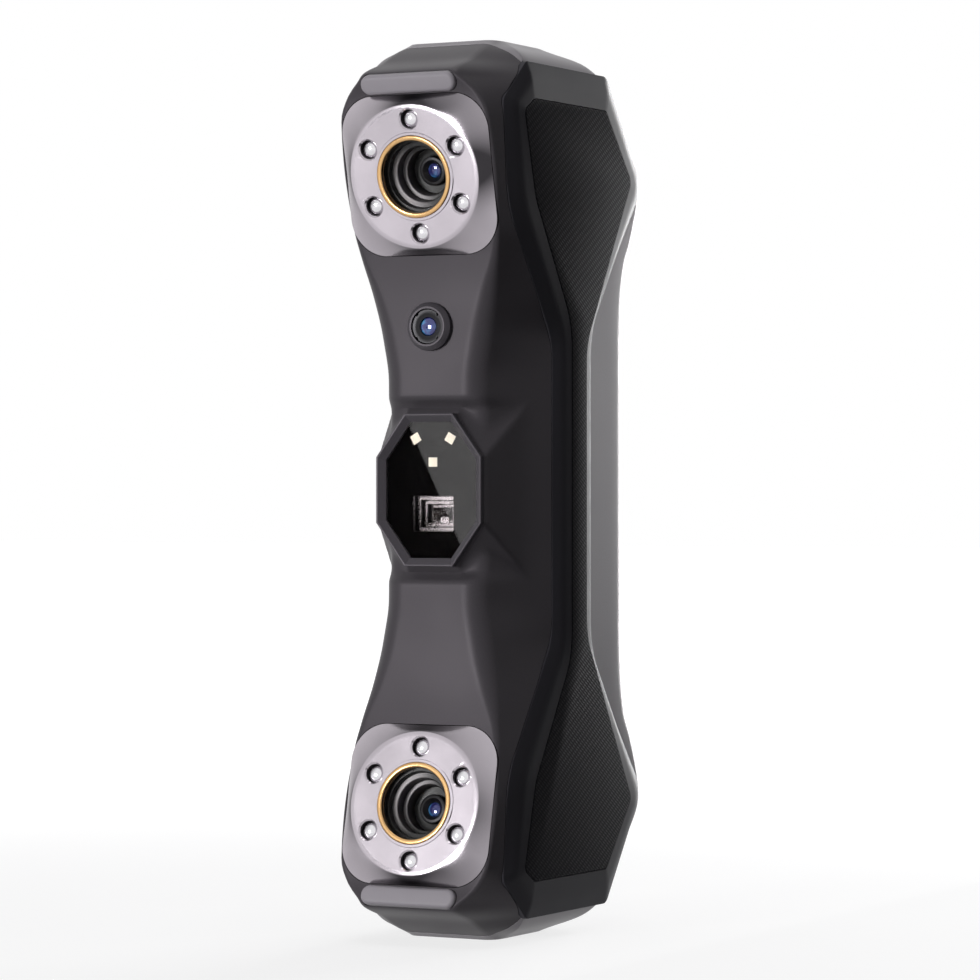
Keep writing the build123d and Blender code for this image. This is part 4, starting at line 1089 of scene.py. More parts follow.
# ---- shells -------------------------------------------------------------------------------------
@dataclass
class Shells:
    """Front and rear shell: a dog-bone that flares from the waist to the camera heads."""

    neck_h: float = 26.0
    neck_half: float = 11.8
    neck_corner: float = 6.0
    head_half: float = 20.3
    head_corner: float = 1.0
    head_rear_y: float = 40.7
    waist_round: float = 9.0
    head_round: float = 1.6
    brow_half: float = 12.2
    roof_front_y: float = -18.0
    roof_rear_y: float = 11.0
    roof_face_half: float = 11.2
    roof_half: float = 11.2
    roof_seam_shift: float = 7.0
    roof_round: float = 10.4
    rear_margin: float = 1.4
    wall: float = 2.4
    front_wall: float = 3.6
    end_wall: float = 6.3
    seam_round: float = 0.8
    boss_size: tuple = (14.3, 17.7, 6.6, 7.9)
    boss_flare: tuple = (4.4, 13.5, 9.0, 8.1)
    boss_depth: float = 16.0
    boss_blend: float = 1.3
    hollow: tuple = (18.8, 22.2)     # heights between which the neck drops towards the window
    hollow_depth: float = 2.2
    hollow_fade: tuple = (8.5, 19.0)    # half widths between which that drop ends
    bumper_length: float = 25.2
    bumper_width: float = 4.6
    bumper_seat: float = 1.0
    board_radius: float = 17.4
    pad_size: tuple = (18.0, 64.0)
    pad_h: float = 12.0
    post_x: float = 12.4
    post_h: float = 66.0
    post_bore: float = 2.6
    tripod_y: float = -7.0
    tripod_radius: float = 5.05
    usb_y: float = 4.5
    usb_size: tuple = (9.2, 3.5)

    def plate_edge(self, end: int) -> tuple[float, float]:
        """Height and y of the shell's face at a lens plate's lower (-1) or upper (+1) edge.

        Args:
            end: -1 for the edge towards the middle, +1 for the outer one.

        Returns:
            The height above the middle, and y.
        """
        along = end * PLATE_HEIGHT / 2
        return (
            CAMERA_H + along * math.cos(TOE_IN) + PLATE_DROP * math.sin(TOE_IN),
            CAMERA_Y - along * math.sin(TOE_IN) + PLATE_DROP * math.cos(TOE_IN),
        )

    def seam_y(self, h: float) -> float:
        """Front edge of the grips at a height."""
        corners = [(y, CAMERA_H + rise) for y, rise, _ in GRIP_SEAM[:4]]
        return float(np.interp(abs(h), [c[1] for c in corners], [c[0] for c in corners]))

    def rear_y(self, h: float) -> float:
        """Rear face above the widest height of a head."""
        (y0, h0, _), (y1, h1, _) = GRIP_SEAM[4], GRIP_SEAM[5]
        return y1 + (y0 - y1) * (abs(h) - CAMERA_H - h1) / (h0 - h1) + self.rear_margin

    def keys(self) -> tuple[list[float], Points]:
        """Heights of the driving sections, and their sizes from the front to the rear's rounding.

        Returns:
            The heights, and one row of sizes for each.
        """
        low_h, low_y = self.plate_edge(-1)
        high_h, high_y = self.plate_edge(+1)
        rows = []

        def face_y(h: float) -> float:
            """Depth of the head's face at a height."""
            return low_y + (high_y - low_y) * (h - low_h) / (high_h - low_h)

        def neck(h: float, share: float, rear: float) -> None:
            """Add a section of the neck.

            Args:
                h: its height.
                share: 0 at the waist and 1 at the head.
                rear: the same for the back.
            """
            rows.append((
                h,
                NECK_FACE_Y + (low_y - NECK_FACE_Y) * share ** 2,
                self.neck_half + (self.head_half - 2.1 - self.neck_half) * share,
                self.neck_corner + (self.head_corner + 1.0 - self.neck_corner) * share ** 2,
                self.seam_y(h), SIDE,
                WAIST_REAR_Y + (self.head_rear_y - WAIST_REAR_Y) * rear,
                self.waist_round + (self.head_round - self.waist_round) * rear,
            ))

        def head(h: float, face: float, corner: float, rear: float, rounding: float) -> None:
            """Add a section of the head."""
            rows.append((h, face_y(h), face, corner, self.seam_y(h), SIDE, rear, rounding))

        neck(0.0, 0.0, 0.0)
        neck(self.neck_h, 0.02, 0.0)
        for step, (share, rear) in enumerate([(0.28, 0.0), (0.6, 0.05)], start=1):
            neck(self.neck_h + (low_h - self.neck_h) * step / 3, share, rear)
        neck(low_h, 1.0, 0.24)
        widest = CAMERA_H + 2.5
        head(low_h + 6.0, self.head_half - 1.0, self.head_corner + 0.4, self.head_rear_y - 2.0, 4.8)
        head(widest, self.head_half, self.head_corner, self.head_rear_y, self.head_round)
        for below, narrow in [(5.0, 0.6), (-0.4, 3.2)]:
            h = high_h - below
            head(h, self.head_half - narrow, self.head_corner + 0.2 * narrow, self.rear_y(h),
                 self.head_round + 0.6)
        brow_h = END_H - BROW_DROP
        rows.append((brow_h, BROW_Y, self.brow_half, 2.0, self.seam_y(brow_h), SIDE,
                     self.rear_y(brow_h), self.head_round + 2.0))
        shoulder = self.rear_y(CAMERA_H + GRIP_TOP)
        for drop, share, bulge in [(1.0, 0.3, 0.04), (0.4, 0.68, 0.35), (0.0, 1.0, 1.0)]:
            rows.append((
                END_H - self.end_wall * drop,
                BROW_Y + (self.roof_front_y - BROW_Y) * share ** 0.85,
                self.brow_half + (self.roof_face_half - self.brow_half) * share ** 2,
                2.0 + share,
                PARTING_FRONT_Y + self.roof_seam_shift * bulge,
                SIDE - 0.2 + (self.roof_half - SIDE) * bulge,
                shoulder + (self.roof_rear_y - shoulder) * bulge,
                self.head_round + 2.0 + (self.roof_round - self.head_round - 2.0) * bulge,
            ))
        table = np.array(rows)
        return list(table[:, 0]), table[:, 1:]

    def heights(self) -> Points:
        """Heights of the mesh's rings above the middle, closest together where the form turns.

        Returns:
            The heights, rising.
        """
        brow_h = END_H - BROW_DROP
        stops = [(0.0, 36.0, 0.75), (36.0, 56.0, 1.0), (56.0, brow_h - 2.0, 1.5),
                 (brow_h - 2.0, END_H, 0.45)]
        parts = [np.linspace(low, high, round((high - low) / step), endpoint=False)
                 for low, high, step in stops]
        return np.append(np.concatenate(parts), END_H)

    def half_ring(self, size: Points, runs: Sequence[int]) -> Points:
        """Right half of a section, from the middle of the front to the middle of the back.

        Args:
            size: front, face, corner, seam, side, rear, round.
            runs: steps along the front, its corner, the side wall, the seam, the flat side, the
                rear corner and the back.

        Returns:
            The section's points.
        """
        front, face, corner, seam, side, rear, rounding = size
        stops = [(0.0, front), (face, front), (side, seam), (side, rear), (0.0, rear)]
        bends = []
        for index, radius in zip((1, 2, 3), (corner, self.seam_round, rounding)):
            here = np.array(stops[index])
            before = unit(np.array(stops[index - 1]) - here)
            after = unit(np.array(stops[index + 1]) - here)
            half = math.acos(float(before @ after)) / 2
            centre = here + unit(before + after) * radius / math.sin(half)
            start = here + before * radius / math.tan(half) - centre
            end = here + after * radius / math.tan(half) - centre
            first = math.atan2(start[1], start[0])
            turn = math.remainder(math.atan2(end[1], end[0]) - first, math.tau)
            angles = first + turn * np.linspace(0.0, 1.0, runs[2 * index - 1] + 1)
            bends.append(centre + radius * np.column_stack([np.cos(angles), np.sin(angles)]))
        points, at = [], np.array(stops[0])
        for bend, run in zip(bends, runs[0::2]):
            points.extend(at + (bend[0] - at) * step / run for step in range(run))
            points.extend(bend[:-1])
            at = bend[-1]
        end = np.array(stops[-1])
        points.extend(at + (end - at) * step / runs[-1] for step in range(runs[-1] + 1))
        return np.array(points)

    def boss_y(self, x: Points, h: Points) -> Points:
        """Depth of the flared boss round the centre window.

        Args:
            x: places across.
            h: heights above the middle.

        Returns:
            The boss's y at each place.
        """
        half_width, half_height, top_half, side_half = self.boss_size
        flare_x, flare_h, flare_top, flare_side = self.boss_flare
        x, h = np.abs(x), np.abs(h)
        normal = unit(np.array((half_height - side_half, half_width - top_half)))
        level = normal @ np.array((half_width, side_half))
        growth = normal @ np.array((flare_x + flare_top, flare_side + flare_h)) / 2
        share = np.maximum.reduce([
            (x - half_width) / flare_x,
            (h - half_height) / flare_h,
            (x * normal[0] + h * normal[1] - level) / growth,
            np.zeros_like(x),
        ])
        return NECK_FACE_Y - 0.1 + self.boss_depth * share

    def outside(self) -> bpy.types.Mesh:
        """Closed skin of the whole body.

        Returns:
            The skin.
        """
        upper = self.heights()
        heights = np.concatenate([-upper[:0:-1], upper])
        keys, values = self.keys()
        shifts = (-1.2, -0.6, 0.0, 0.6, 1.2)
        near = [np.clip(np.abs(heights) + shift, 0.0, END_H) for shift in shifts]
        sizes = np.mean([flowing(keys, values, place) for place in near], axis=0)
        runs = (18, 12, 24, 4, 12, 12, 12)
        front_count = runs[0] + runs[1] + runs[2] + 1
        rings = []
        for h, size in zip(heights, sizes):
            right = self.half_ring(size, runs)
            x, y = right[:front_count, 0], right[:front_count, 1]
            if abs(h) < 2 * self.hollow[1]:
                dip = self.hollow_depth * (1 - smooth_step(*self.hollow, abs(h)))
                dip *= 1 - smooth_step(*self.hollow_fade, x)
                y = soft_min(y + dip, self.boss_y(x, np.full_like(x, h)), self.boss_blend)
            right[:front_count, 1] = y
            ring = np.vstack([right, (right * (-1, 1))[-2:0:-1]])
            rings.append(lifted(ring, MIDDLE + h))
        return Skin(rings).mesh("outside", WHOLE)

    def inside(self) -> bpy.types.Mesh:
        """Wall of the space inside the shells.

        Returns:
            The wall, facing inwards.
        """
        top = END_H - self.end_wall
        upper = np.linspace(0.0, top, 36)
        heights = np.concatenate([-upper[:0:-1], upper])
        keys, values = self.keys()
        rings = []
        for h, size in zip(heights, flowing(keys, values, np.abs(heights))):
            front, face, _corner, seam, side, rear, rounding = size
            lean = (side - face) / (seam - front)
            stretch = math.hypot(1.0, lean)
            inner = (
                front + self.front_wall,
                face + lean * self.front_wall - self.wall * stretch,
                0.6,
                seam + self.wall * lean / (1 + stretch),
                side - self.wall,
                rear - self.wall,
                max(rounding - self.wall, 0.8),
            )
            right = self.half_ring(inner, (3, 3, 3, 2, 3, 5, 3))
            ring = np.vstack([right, (right * (-1, 1))[-2:0:-1]])
            rings.append(lifted(ring, MIDDLE + h))
        return Skin(rings).mesh("inside", WHOLE, inside_out=True)

    def zone(self, ahead: bool) -> bpy.types.Object:
        """Block in front of the stepped parting line, or behind it.

        Args:
            ahead: whether the block lies in front.

        Returns:
            The block.
        """
        far = 2 * END_H
        step = END_H - PARTING_STEP
        gap = SEAM_GAP / 2 * (1 if ahead else -1)
        back, edge = PARTING_Y + gap, PARTING_FRONT_Y + gap
        beyond = -far if ahead else far
        upper = [(beyond, far), (edge, far), (edge, step + gap), (back, step + gap)]
        corners = [(y, h, 0.0) for y, h in upper] + [(y, -h, 0.0) for y, h in reversed(upper)]
        return form("zone", prism(corners, -far, far, 1), place=side_place(0.0))

    def grip_tools(self) -> list[bpy.types.Object]:
        """Blocks that cut the grips' seats.

        Returns:
            One block for each side.
        """
        corners = inset(from_middle(GRIP_SEAM), -SEAM_GAP)
        seat = prism(corners, SIDE - 1.2, SIDE + 4.0)
        other = Skin([ring * (1, 1, -1) for ring in seat.rings])
        return [form("grip_tool", shape, place=side_place(0.0)) for shape in (seat, other)]

    def bumper_place(self, half: Half) -> Place:
        """Frame on the face between a lens plate and the brow.

        Args:
            half: the end that the bumper is on.

        Returns:
            The frame, whose Z leaves the face.
        """
        low_h, low_y = self.plate_edge(+1)
        high_h = END_H - BROW_DROP
        origin = (0.0, (low_y + BROW_Y) / 2, MIDDLE + half.value * (low_h + high_h) / 2)
        return Place(origin, (1.0, 0.0, 0.0), (0.0, low_h - high_h, half.value * (BROW_Y - low_y)))

    def front_tools(self) -> list[bpy.types.Object]:
        """Everything that is cut from the front shell.

        Returns:
            The closed shapes to cut with.
        """
        tools = [self.zone(ahead=False), *self.grip_tools()]
        plate = rectangle(PLATE_WIDTH + 2 * SEAM_GAP, PLATE_HEIGHT + 2 * SEAM_GAP, PLATE_CORNER)
        bumper = rectangle(self.bumper_length + 0.3, self.bumper_width + 0.3, self.bumper_width / 2)
        for half in Half:
            place = head_place(half)
            tools.append(form("plate_tool", prism(plate, -4.5, 4.0), place=place))
            tools.append(form("board_tool", cylinder(self.board_radius, -13.0, -2.0), place=place))
            seat = prism(bumper, -self.bumper_seat, 3.0)
            tools.append(form("bumper_tool", seat, place=self.bumper_place(half)))
        window = prism(octagon(13.4, 17.3, 6.5, 8.2), -10.0, 3.0, 1)
        tools.append(form("window_tool", window, place=front_place(NECK_FACE_Y)))
        tools.append(form("camera_tool", cylinder(4.8, -8.0, 3.0), place=front_place(-28.7, 38.6)))
        return tools

    def rear_tools(self) -> list[bpy.types.Object]:
        """Everything that is cut from the rear shell.

        Returns:
            The closed shapes to cut with.
        """
        tools = [self.zone(ahead=True), *self.grip_tools()]
        width, height = self.pad_size
        place = rear_place(WAIST_REAR_Y, self.pad_h)
        pad = rectangle(width + 0.3, height + 0.3, width / 2)
        hole = rectangle(width - 3.0, height - 3.0, width / 2 - 1.6)
        tools.append(form("pad_tool", prism(pad, -1.2, 4.0), place=place))
        tools.append(form("pad_hole_tool", prism(hole, -6.0, 4.0), place=place))
        for x in (-self.post_x, self.post_x):
            for h in (-self.post_h, self.post_h):
                bore = cylinder(self.post_bore, 0.0, 60.0)
                tools.append(form("bore_tool", bore, place=rear_place(8.0, h).shifted(x=x)))
        socket = prism(rectangle(*self.usb_size, self.usb_size[1] / 2 - 0.05), -1.0, 8.0)
        tripod = cylinder(self.tripod_radius, -1.0, 9.3)
        tools.append(form("usb_tool", socket, place=Place((0.0, self.usb_y, 0.0))))
        tools.append(form("tripod_tool", tripod, place=Place((0.0, self.tripod_y, 0.0))))
        return tools

    def build(self) -> None:
        """Make both shells."""
        for name, tools, finish in (
            ("front_shell", self.front_tools(), FRONT_PLASTIC),
            ("rear_shell", self.rear_tools(), REAR_PLASTIC),
        ):
            shell = new_object(f"{name}_moulding", [self.outside(), self.inside()])
            carve(shell, tools)
            settle(shell, finish, [name])


def side_place(x: float) -> Place:
    """Frame on a plane along the side: its X is the body's Y, and its Y is the height."""
    return Place((x, 0.0, MIDDLE), (0.0, 1.0, 0.0), (1.0, 0.0, 0.0))


# ---- grips --------------------------------------------------------------------------------------
@dataclass
class Grip:
    """Bevelled side cover and its woven inlay."""

    hand: Hand
    seat: float = 1.2
    profile: tuple = ((0.0, 0.0), (0.0, 0.14), (0.45, 1.58), (0.94, 2.07))
    softening: int = 3
    inlay_depth: float = 1.1
    inlay_edge: float = 0.25

    def softened(self) -> list[tuple[float, float]]:
        """The border's profile with its corners worn round.

        Returns:
            The (share of the way inwards, rise) points.
        """
        points = [np.array(point) for point in self.profile]
        for _ in range(self.softening):
            cut = [points[0]]
            for first, second in zip(points, points[1:]):
                cut += [first * 0.78 + second * 0.22, first * 0.22 + second * 0.78]
            points = cut + [points[-1]]
        return [tuple(point) for point in points]

    def sided(self, skin: Skin) -> Skin:
        """The skin, mirrored for the left side."""
        return Skin([ring * (1, 1, self.hand.value) for ring in skin.rings])

    def cover(self) -> Skin:
        """Border from the seam up to the inlay's seat.

        Returns:
            The border, open over the inlay.
        """
        outer = outline(from_middle(GRIP_SEAM), 14, 10)
        inner = outline(from_middle(INLAY_SEAM), 14, 10)
        rings = [lifted(outer, SIDE - self.seat)]
        for share, rise in self.softened():
            rings.append(lifted(outer + (inner - outer) * share, SIDE + rise))
        rings.append(lifted(outer + (inner - outer) * 0.985, SIDE + GRIP_RISE - 0.1))
        rings.append(lifted(outer + (inner - outer) * 0.985, SIDE + GRIP_RISE - self.inlay_depth))
        return Skin(rings)

    def inlay(self) -> Skin:
        """Flat pad with a slightly rounded edge."""
        low, high = SIDE + GRIP_RISE - self.inlay_depth, SIDE + GRIP_RISE
        return soft_block(from_middle(INLAY_SEAM), low, high, self.inlay_edge, arc=10, steps=3)

    def build(self) -> None:
        """Make the cover and the inlay."""
        label = self.hand.label
        place = side_place(0.0)
        cover = form(f"{label}_grip_cover", self.sided(self.cover()), place=place)
        settle(cover, GRIP_PLASTIC, [f"{label}_grip_panel"], sharp=40.0)
        pad = form(f"{label}_grip_pad", self.sided(self.inlay()), place=place)
        settle(pad, GRIP_WEAVE, [f"{label}_grip_inlay"])


# ---- camera heads -------------------------------------------------------------------------------
@dataclass
class CameraHead:
    """Lens plate with its ring of LEDs, the well round the lens, the lens and the bumper."""

    half: Half
    disc_radius: float = 17.0
    bore: float = 9.75
    lip_width: float = 0.8
    lip_height: float = 0.25
    rim: float = 2.0                 # thickness of the plate at its edge
    fall: float = 1.3                # how late the plate falls away from its disc
    band_lean: float = 5.0          # degrees by which the side bands of painted shade lie towards the end
    band_width: float = 23.0         # degrees over which a band fades
    glare_shade: float = 0.4         # how much painted shade darkens the slope where it would glare
    led_circle: float = 13.5
    led_count: int = 6
    led_bore: float = 2.25
    led_chamfer: float = 0.35
    dome_radius: float = 2.12
    dome_top: float = -0.35
    ring_width: float = 1.15
    ring_proud: float = 0.55
    ring_height: float = 1.5
    window_seat: float = -2.2
    hood_floor: float = -10.4
    ledges: tuple = ((7.9, -3.9), (6.55, -6.7), (5.45, -10.4))   # radius and foot of each wall
    barrel_radius: float = 3.5
    barrel_front: float = -9.0
    glass_radius: float = 1.7
    glass_recess: float = 1.0
    bumper_length: float = 25.2
    bumper_width: float = 4.6
    bumper_proud: float = 1.3

    @property
    def place(self) -> Place:
        """Frame of the head's disc."""
        return head_place(self.half)

    def led_places(self) -> list[tuple[float, float]]:
        """Centres of the LEDs."""
        angles = [math.pi / 2 + math.tau * index / self.led_count for index in range(self.led_count)]
        return [(self.led_circle * math.cos(a), self.led_circle * math.sin(a)) for a in angles]

    def edge_radius(self, angles: Points) -> Points:
        """Distance from the axis to the plate's rounded square edge, at each angle.

        Args:
            angles: angles about the axis.

        Returns:
            One distance for each angle.
        """
        edge = outline(rectangle(PLATE_WIDTH, PLATE_HEIGHT, PLATE_CORNER), 40, 40)
        around = np.arctan2(edge[:, 1], edge[:, 0])
        order = np.argsort(around)
        return np.interp(angles, around[order], np.hypot(*edge[order].T), period=math.tau)

    def plate(self) -> bpy.types.Object:
        """Metal face: a flat disc that falls to a rounded square edge, bored for the LEDs.

        Returns:
            The bored plate.
        """
        angles = np.linspace(-math.pi, math.pi, 288, endpoint=False)
        circle = np.column_stack([np.cos(angles), np.sin(angles)])
        edge = self.edge_radius(angles)
        lip, bottom = self.bore + self.lip_width, -(PLATE_DROP + self.rim)
        levels = [
            (self.bore, bottom), (self.bore, self.lip_height - 0.08),
            (self.bore + 0.08, self.lip_height), (lip - 0.15, self.lip_height), (lip, 0.0),
            (lip + 1.0, 0.0), (self.disc_radius - 1.0, 0.0), (self.disc_radius - 0.12, 0.0),
        ]
        rings = [lifted(circle * radius, z) for radius, z in levels]
        for share in np.linspace(0.0, 1.0, 15):
            radius = (self.disc_radius + (edge - self.disc_radius) * share)[:, None]
            rings.append(lifted(circle * radius, -0.04 - (PLATE_DROP - 0.04) * share ** self.fall))
        rings.append(lifted(circle * edge[:, None], bottom))
        plate = form(f"{self.half.label}_plate", Skin(rings, loop=True), place=self.place)
        mouth = self.led_bore + self.led_chamfer
        bore = self.led_bore
        cutter = [(bore, -8.0), (bore, -self.led_chamfer), (mouth, 0.0), (mouth, 1.0)]
        tools = [
            form("led_tool", Skin(turned_rings(cutter, 48)), place=self.place.shifted(x, y))
            for x, y in self.led_places()
        ]
        carve(plate, tools)
        return plate

    def tone(self, plate: bpy.types.Object) -> None:
        """Paint shade onto the plate: dark bands on the steep middles of its sides, standing in for the
        dark they would reflect, and a patch where the slope would glare.

        Args:
            plate: the plate, which gains the painted shade as a value at its points.
        """
        points = points_of(plate)
        place = self.place
        z = unit(np.array(place.z_dir))
        x = np.array(place.x_dir)
        local = points - np.array(place.origin)
        u, v = local @ x, local @ np.cross(z, x)
        radius, angle = np.hypot(u, v), np.arctan2(v, u)
        edge = self.edge_radius(angle)
        out = np.clip((radius - self.disc_radius) / np.maximum(edge - self.disc_radius, 0.5), 0.0, 1.0)
        lean = self.half.value * self.band_lean
        centres = np.radians([90.0, 270.0, lean, 180.0 - lean])
        away = np.abs((angle[:, None] - centres + math.pi) % math.tau - math.pi).min(axis=1)
        middle = np.exp(-(away / math.radians(self.band_width)) ** 2)
        leftwards = smooth_step(0.0, 0.9, -np.cos(angle))
        rightwards = smooth_step(0.5, 0.95, np.cos(angle))
        inwards = smooth_step(0.5, 0.95, -self.half.value * np.sin(angle))
        right_share = 0.12 if self.half is Half.UPPER else -0.4
        depth = (0.8 + right_share * rightwards) * (1 - leftwards * (0.3 + 0.55 * out))
        depth = depth * (1 - 0.3 * inwards)
        glare = np.exp(-((angle - math.radians(self.half.value * 56.0)) / math.radians(20.0)) ** 2)
        # Painted shade: a ring near the disc, the bands on the sides' middles and the patch where the slope
        # would glare.
        shade = 0.3 * (1 - 0.8 * out) + middle * depth + self.glare_shade * glare
        mark_points(plate, "tone", smooth_step(0.0, 0.06, out) * np.clip(shade, 0.0, 0.95))

    def domes(self) -> bpy.types.Object:
        """Six LED domes.

        Returns:
            The domes, with painted shade on their upper-left side as a value at their points.
        """
        foot, spring = -(PLATE_DROP + self.rim), self.dome_top - self.dome_radius * 0.7
        profile = [(self.dome_radius, foot)]
        for step in range(13):
            angle = math.pi / 2 * step / 12
            profile.append((max(self.dome_radius * math.cos(angle), 0.02),
                            spring + (self.dome_top - spring) * math.sin(angle)))
        skins = [
            Skin([ring + (x, y, 0.0) for ring in turned_rings(profile, 40)])
            for x, y in self.led_places()
        ]
        domes = form(f"{self.half.label}_led_domes", *skins, place=self.place)
        # Painted shade: darkest on the side away from the lower right.
        ring = turned_rings(profile, 40)
        flat = np.vstack(ring)[:, :2] / self.dome_radius
        side = flat @ unit(np.array((0.8, -0.45)))
        mark_points(domes, "tone", np.tile(1 - smooth_step(-0.85, 0.1, side), self.led_count))
        return domes

    def ring(self) -> bpy.types.Object:
        """Brass ring with a crowned face.

        Returns:
            The ring.
        """
        outer, inner = self.bore - 0.05, self.bore - 0.05 - self.ring_width
        low, high = self.ring_proud - self.ring_height, self.ring_proud
        corners = [(outer, low, 0.05), (outer, high, 0.3), (inner, high, 0.4), (inner, low, 0.05)]
        profile = outline(corners, 6)
        return form(f"{self.half.label}_brass_ring", Skin(turned_rings(profile, 144), loop=True),
                    place=self.place)

    def well(self) -> bpy.types.Object:
        """Stepped black well whose ledges carry a painted highlight on one side.

        Returns:
            The well, whose ledges carry the painted highlight as a value at their points.
        """
        outer, mouth = self.bore - 0.05, self.ring_proud - self.ring_height
        wide = self.bore - 0.85
        corners = [(outer, mouth, 0.02), (wide, mouth, 0.02), (wide, self.window_seat, 0.02),
                   (self.ledges[0][0], self.window_seat, 0.2)]
        for (radius, level), (inner, _) in zip(self.ledges, self.ledges[1:]):
            corners += [(radius, level, 0.12), (inner, level, 0.3)]
        foot = self.barrel_radius + 0.05
        corners += [(self.ledges[-1][0], self.hood_floor, 0.1), (foot, self.hood_floor, 0.02),
                    (foot, self.hood_floor - 1.6, 0.02), (outer, self.hood_floor - 1.6, 0.02)]
        profile = outline(corners, 5)
        well = form(f"{self.half.label}_well", Skin(turned_rings(profile, 128), loop=True),
                    place=self.place)
        angles = np.linspace(0.0, math.tau, 128, endpoint=False)
        # Painted highlight: the ledges are paler on their left side.
        lit = smooth_step(-0.1, 0.9, np.cos(angles - math.radians(180.0 + self.half.value * 22.0)))
        on_ledge = np.zeros(len(profile))
        for (radius, level), (inner, _) in zip(self.ledges, self.ledges[1:]):
            near = (np.abs(profile[:, 1] - level) < 0.35) & (profile[:, 0] > inner - 0.02)
            on_ledge[near & (profile[:, 0] < radius - 0.1)] = 1.0
        mark_points(well, "tone", np.outer(on_ledge, lit).ravel())
        return well

    def barrel(self) -> bpy.types.Object:
        """Threaded barrel with a ridged cone down to the glass.

        Returns:
            The barrel.
        """
        front, radius = self.barrel_front, self.barrel_radius
        profile = [(radius, front - 9.0)]
        for turn in range(6):
            z = front - 3.4 + turn * 0.5
            profile += [(radius, z), (radius - 0.16, z + 0.25)]
        profile += [(radius, front - 0.35), (radius - 0.12, front - 0.1), (radius - 0.35, front)]
        cone_top = self.glass_radius + 0.95
        profile.append((cone_top, front))
        for ridge in range(3):
            share = (ridge + 0.5) / 3
            z = front - self.glass_recess * share
            profile += [(cone_top - 0.9 * share + 0.06, z + 0.08), (cone_top - 0.9 * share - 0.08, z)]
        profile += [(self.glass_radius + 0.05, front - self.glass_recess),
                    (self.glass_radius + 0.05, front - self.glass_recess - 1.5)]
        return form(f"{self.half.label}_barrel", Skin(turned_rings(profile, 96)), place=self.place)

    def glass(self) -> bpy.types.Object:
        """Domed front element.

        Returns:
            The lens.
        """
        base = self.barrel_front - self.glass_recess - 1.5
        top = base + 1.2
        profile = [(self.glass_radius, base)]
        for step in range(13):
            angle = math.pi / 2 * step / 12
            radius = max(self.glass_radius * math.cos(angle), 0.02)
            profile.append((radius, top + 0.5 * math.sin(angle)))
        skin = Skin(turned_rings(profile, 64))
        return form(f"{self.half.label}_front_element", skin, place=self.place)

    def bumper(self, place: Place) -> bpy.types.Object:
        """Rubber bar with a rounded face.

        Args:
            place: frame on the bumper's seat.

        Returns:
            The bar.
        """
        corners = rectangle(self.bumper_length, self.bumper_width, self.bumper_width / 2 - 0.1)
        bar = soft_block(corners, -0.9, self.bumper_proud, 0.95, arc=14, steps=8)
        return form(f"{self.half.label}_bumper_bar", bar, place=place)

    def build(self, bumper_place: Place) -> None:
        """Make the head's visible pieces.

        Args:
            bumper_place: frame on the bumper's seat.
        """
        label = self.half.label
        plate = self.plate()
        # Painted shade on the plate's sloping sides.
        self.tone(plate)
        settle(plate, PLATE_METAL, [f"{label}_lens_plate"])
        for shape, finish, slot, node in (
            (self.domes(), LED_DOME, "led_dome", "led_lenses"),
            (self.ring(), BRASS, "brass", "lens_ring"),
            (self.well(), WELL_METAL, "black_metal", "lens_hood"),
            (self.barrel(), BLACK_METAL, "black_metal", "lens_barrel"),
            (self.glass(), LENS_COATING, "coated_glass", "lens_glass"),
            (self.bumper(bumper_place), BUMPER_RUBBER, "bumper_rubber", "bumper"),
        ):
            settle(shape, finish, [f"{label}_{node}"])

    def dress(self) -> None:
        """Finish the head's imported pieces."""
        label = self.half.label
        dress_nodes({
            f"{label}_camera_window": CLEAR_GLASS,
            f"{label}_camera_housing": ALUMINIUM,
            f"{label}_camera_board": BOARD_MASK,
            f"{label}_led_board": BLACK_BOARD,
        })


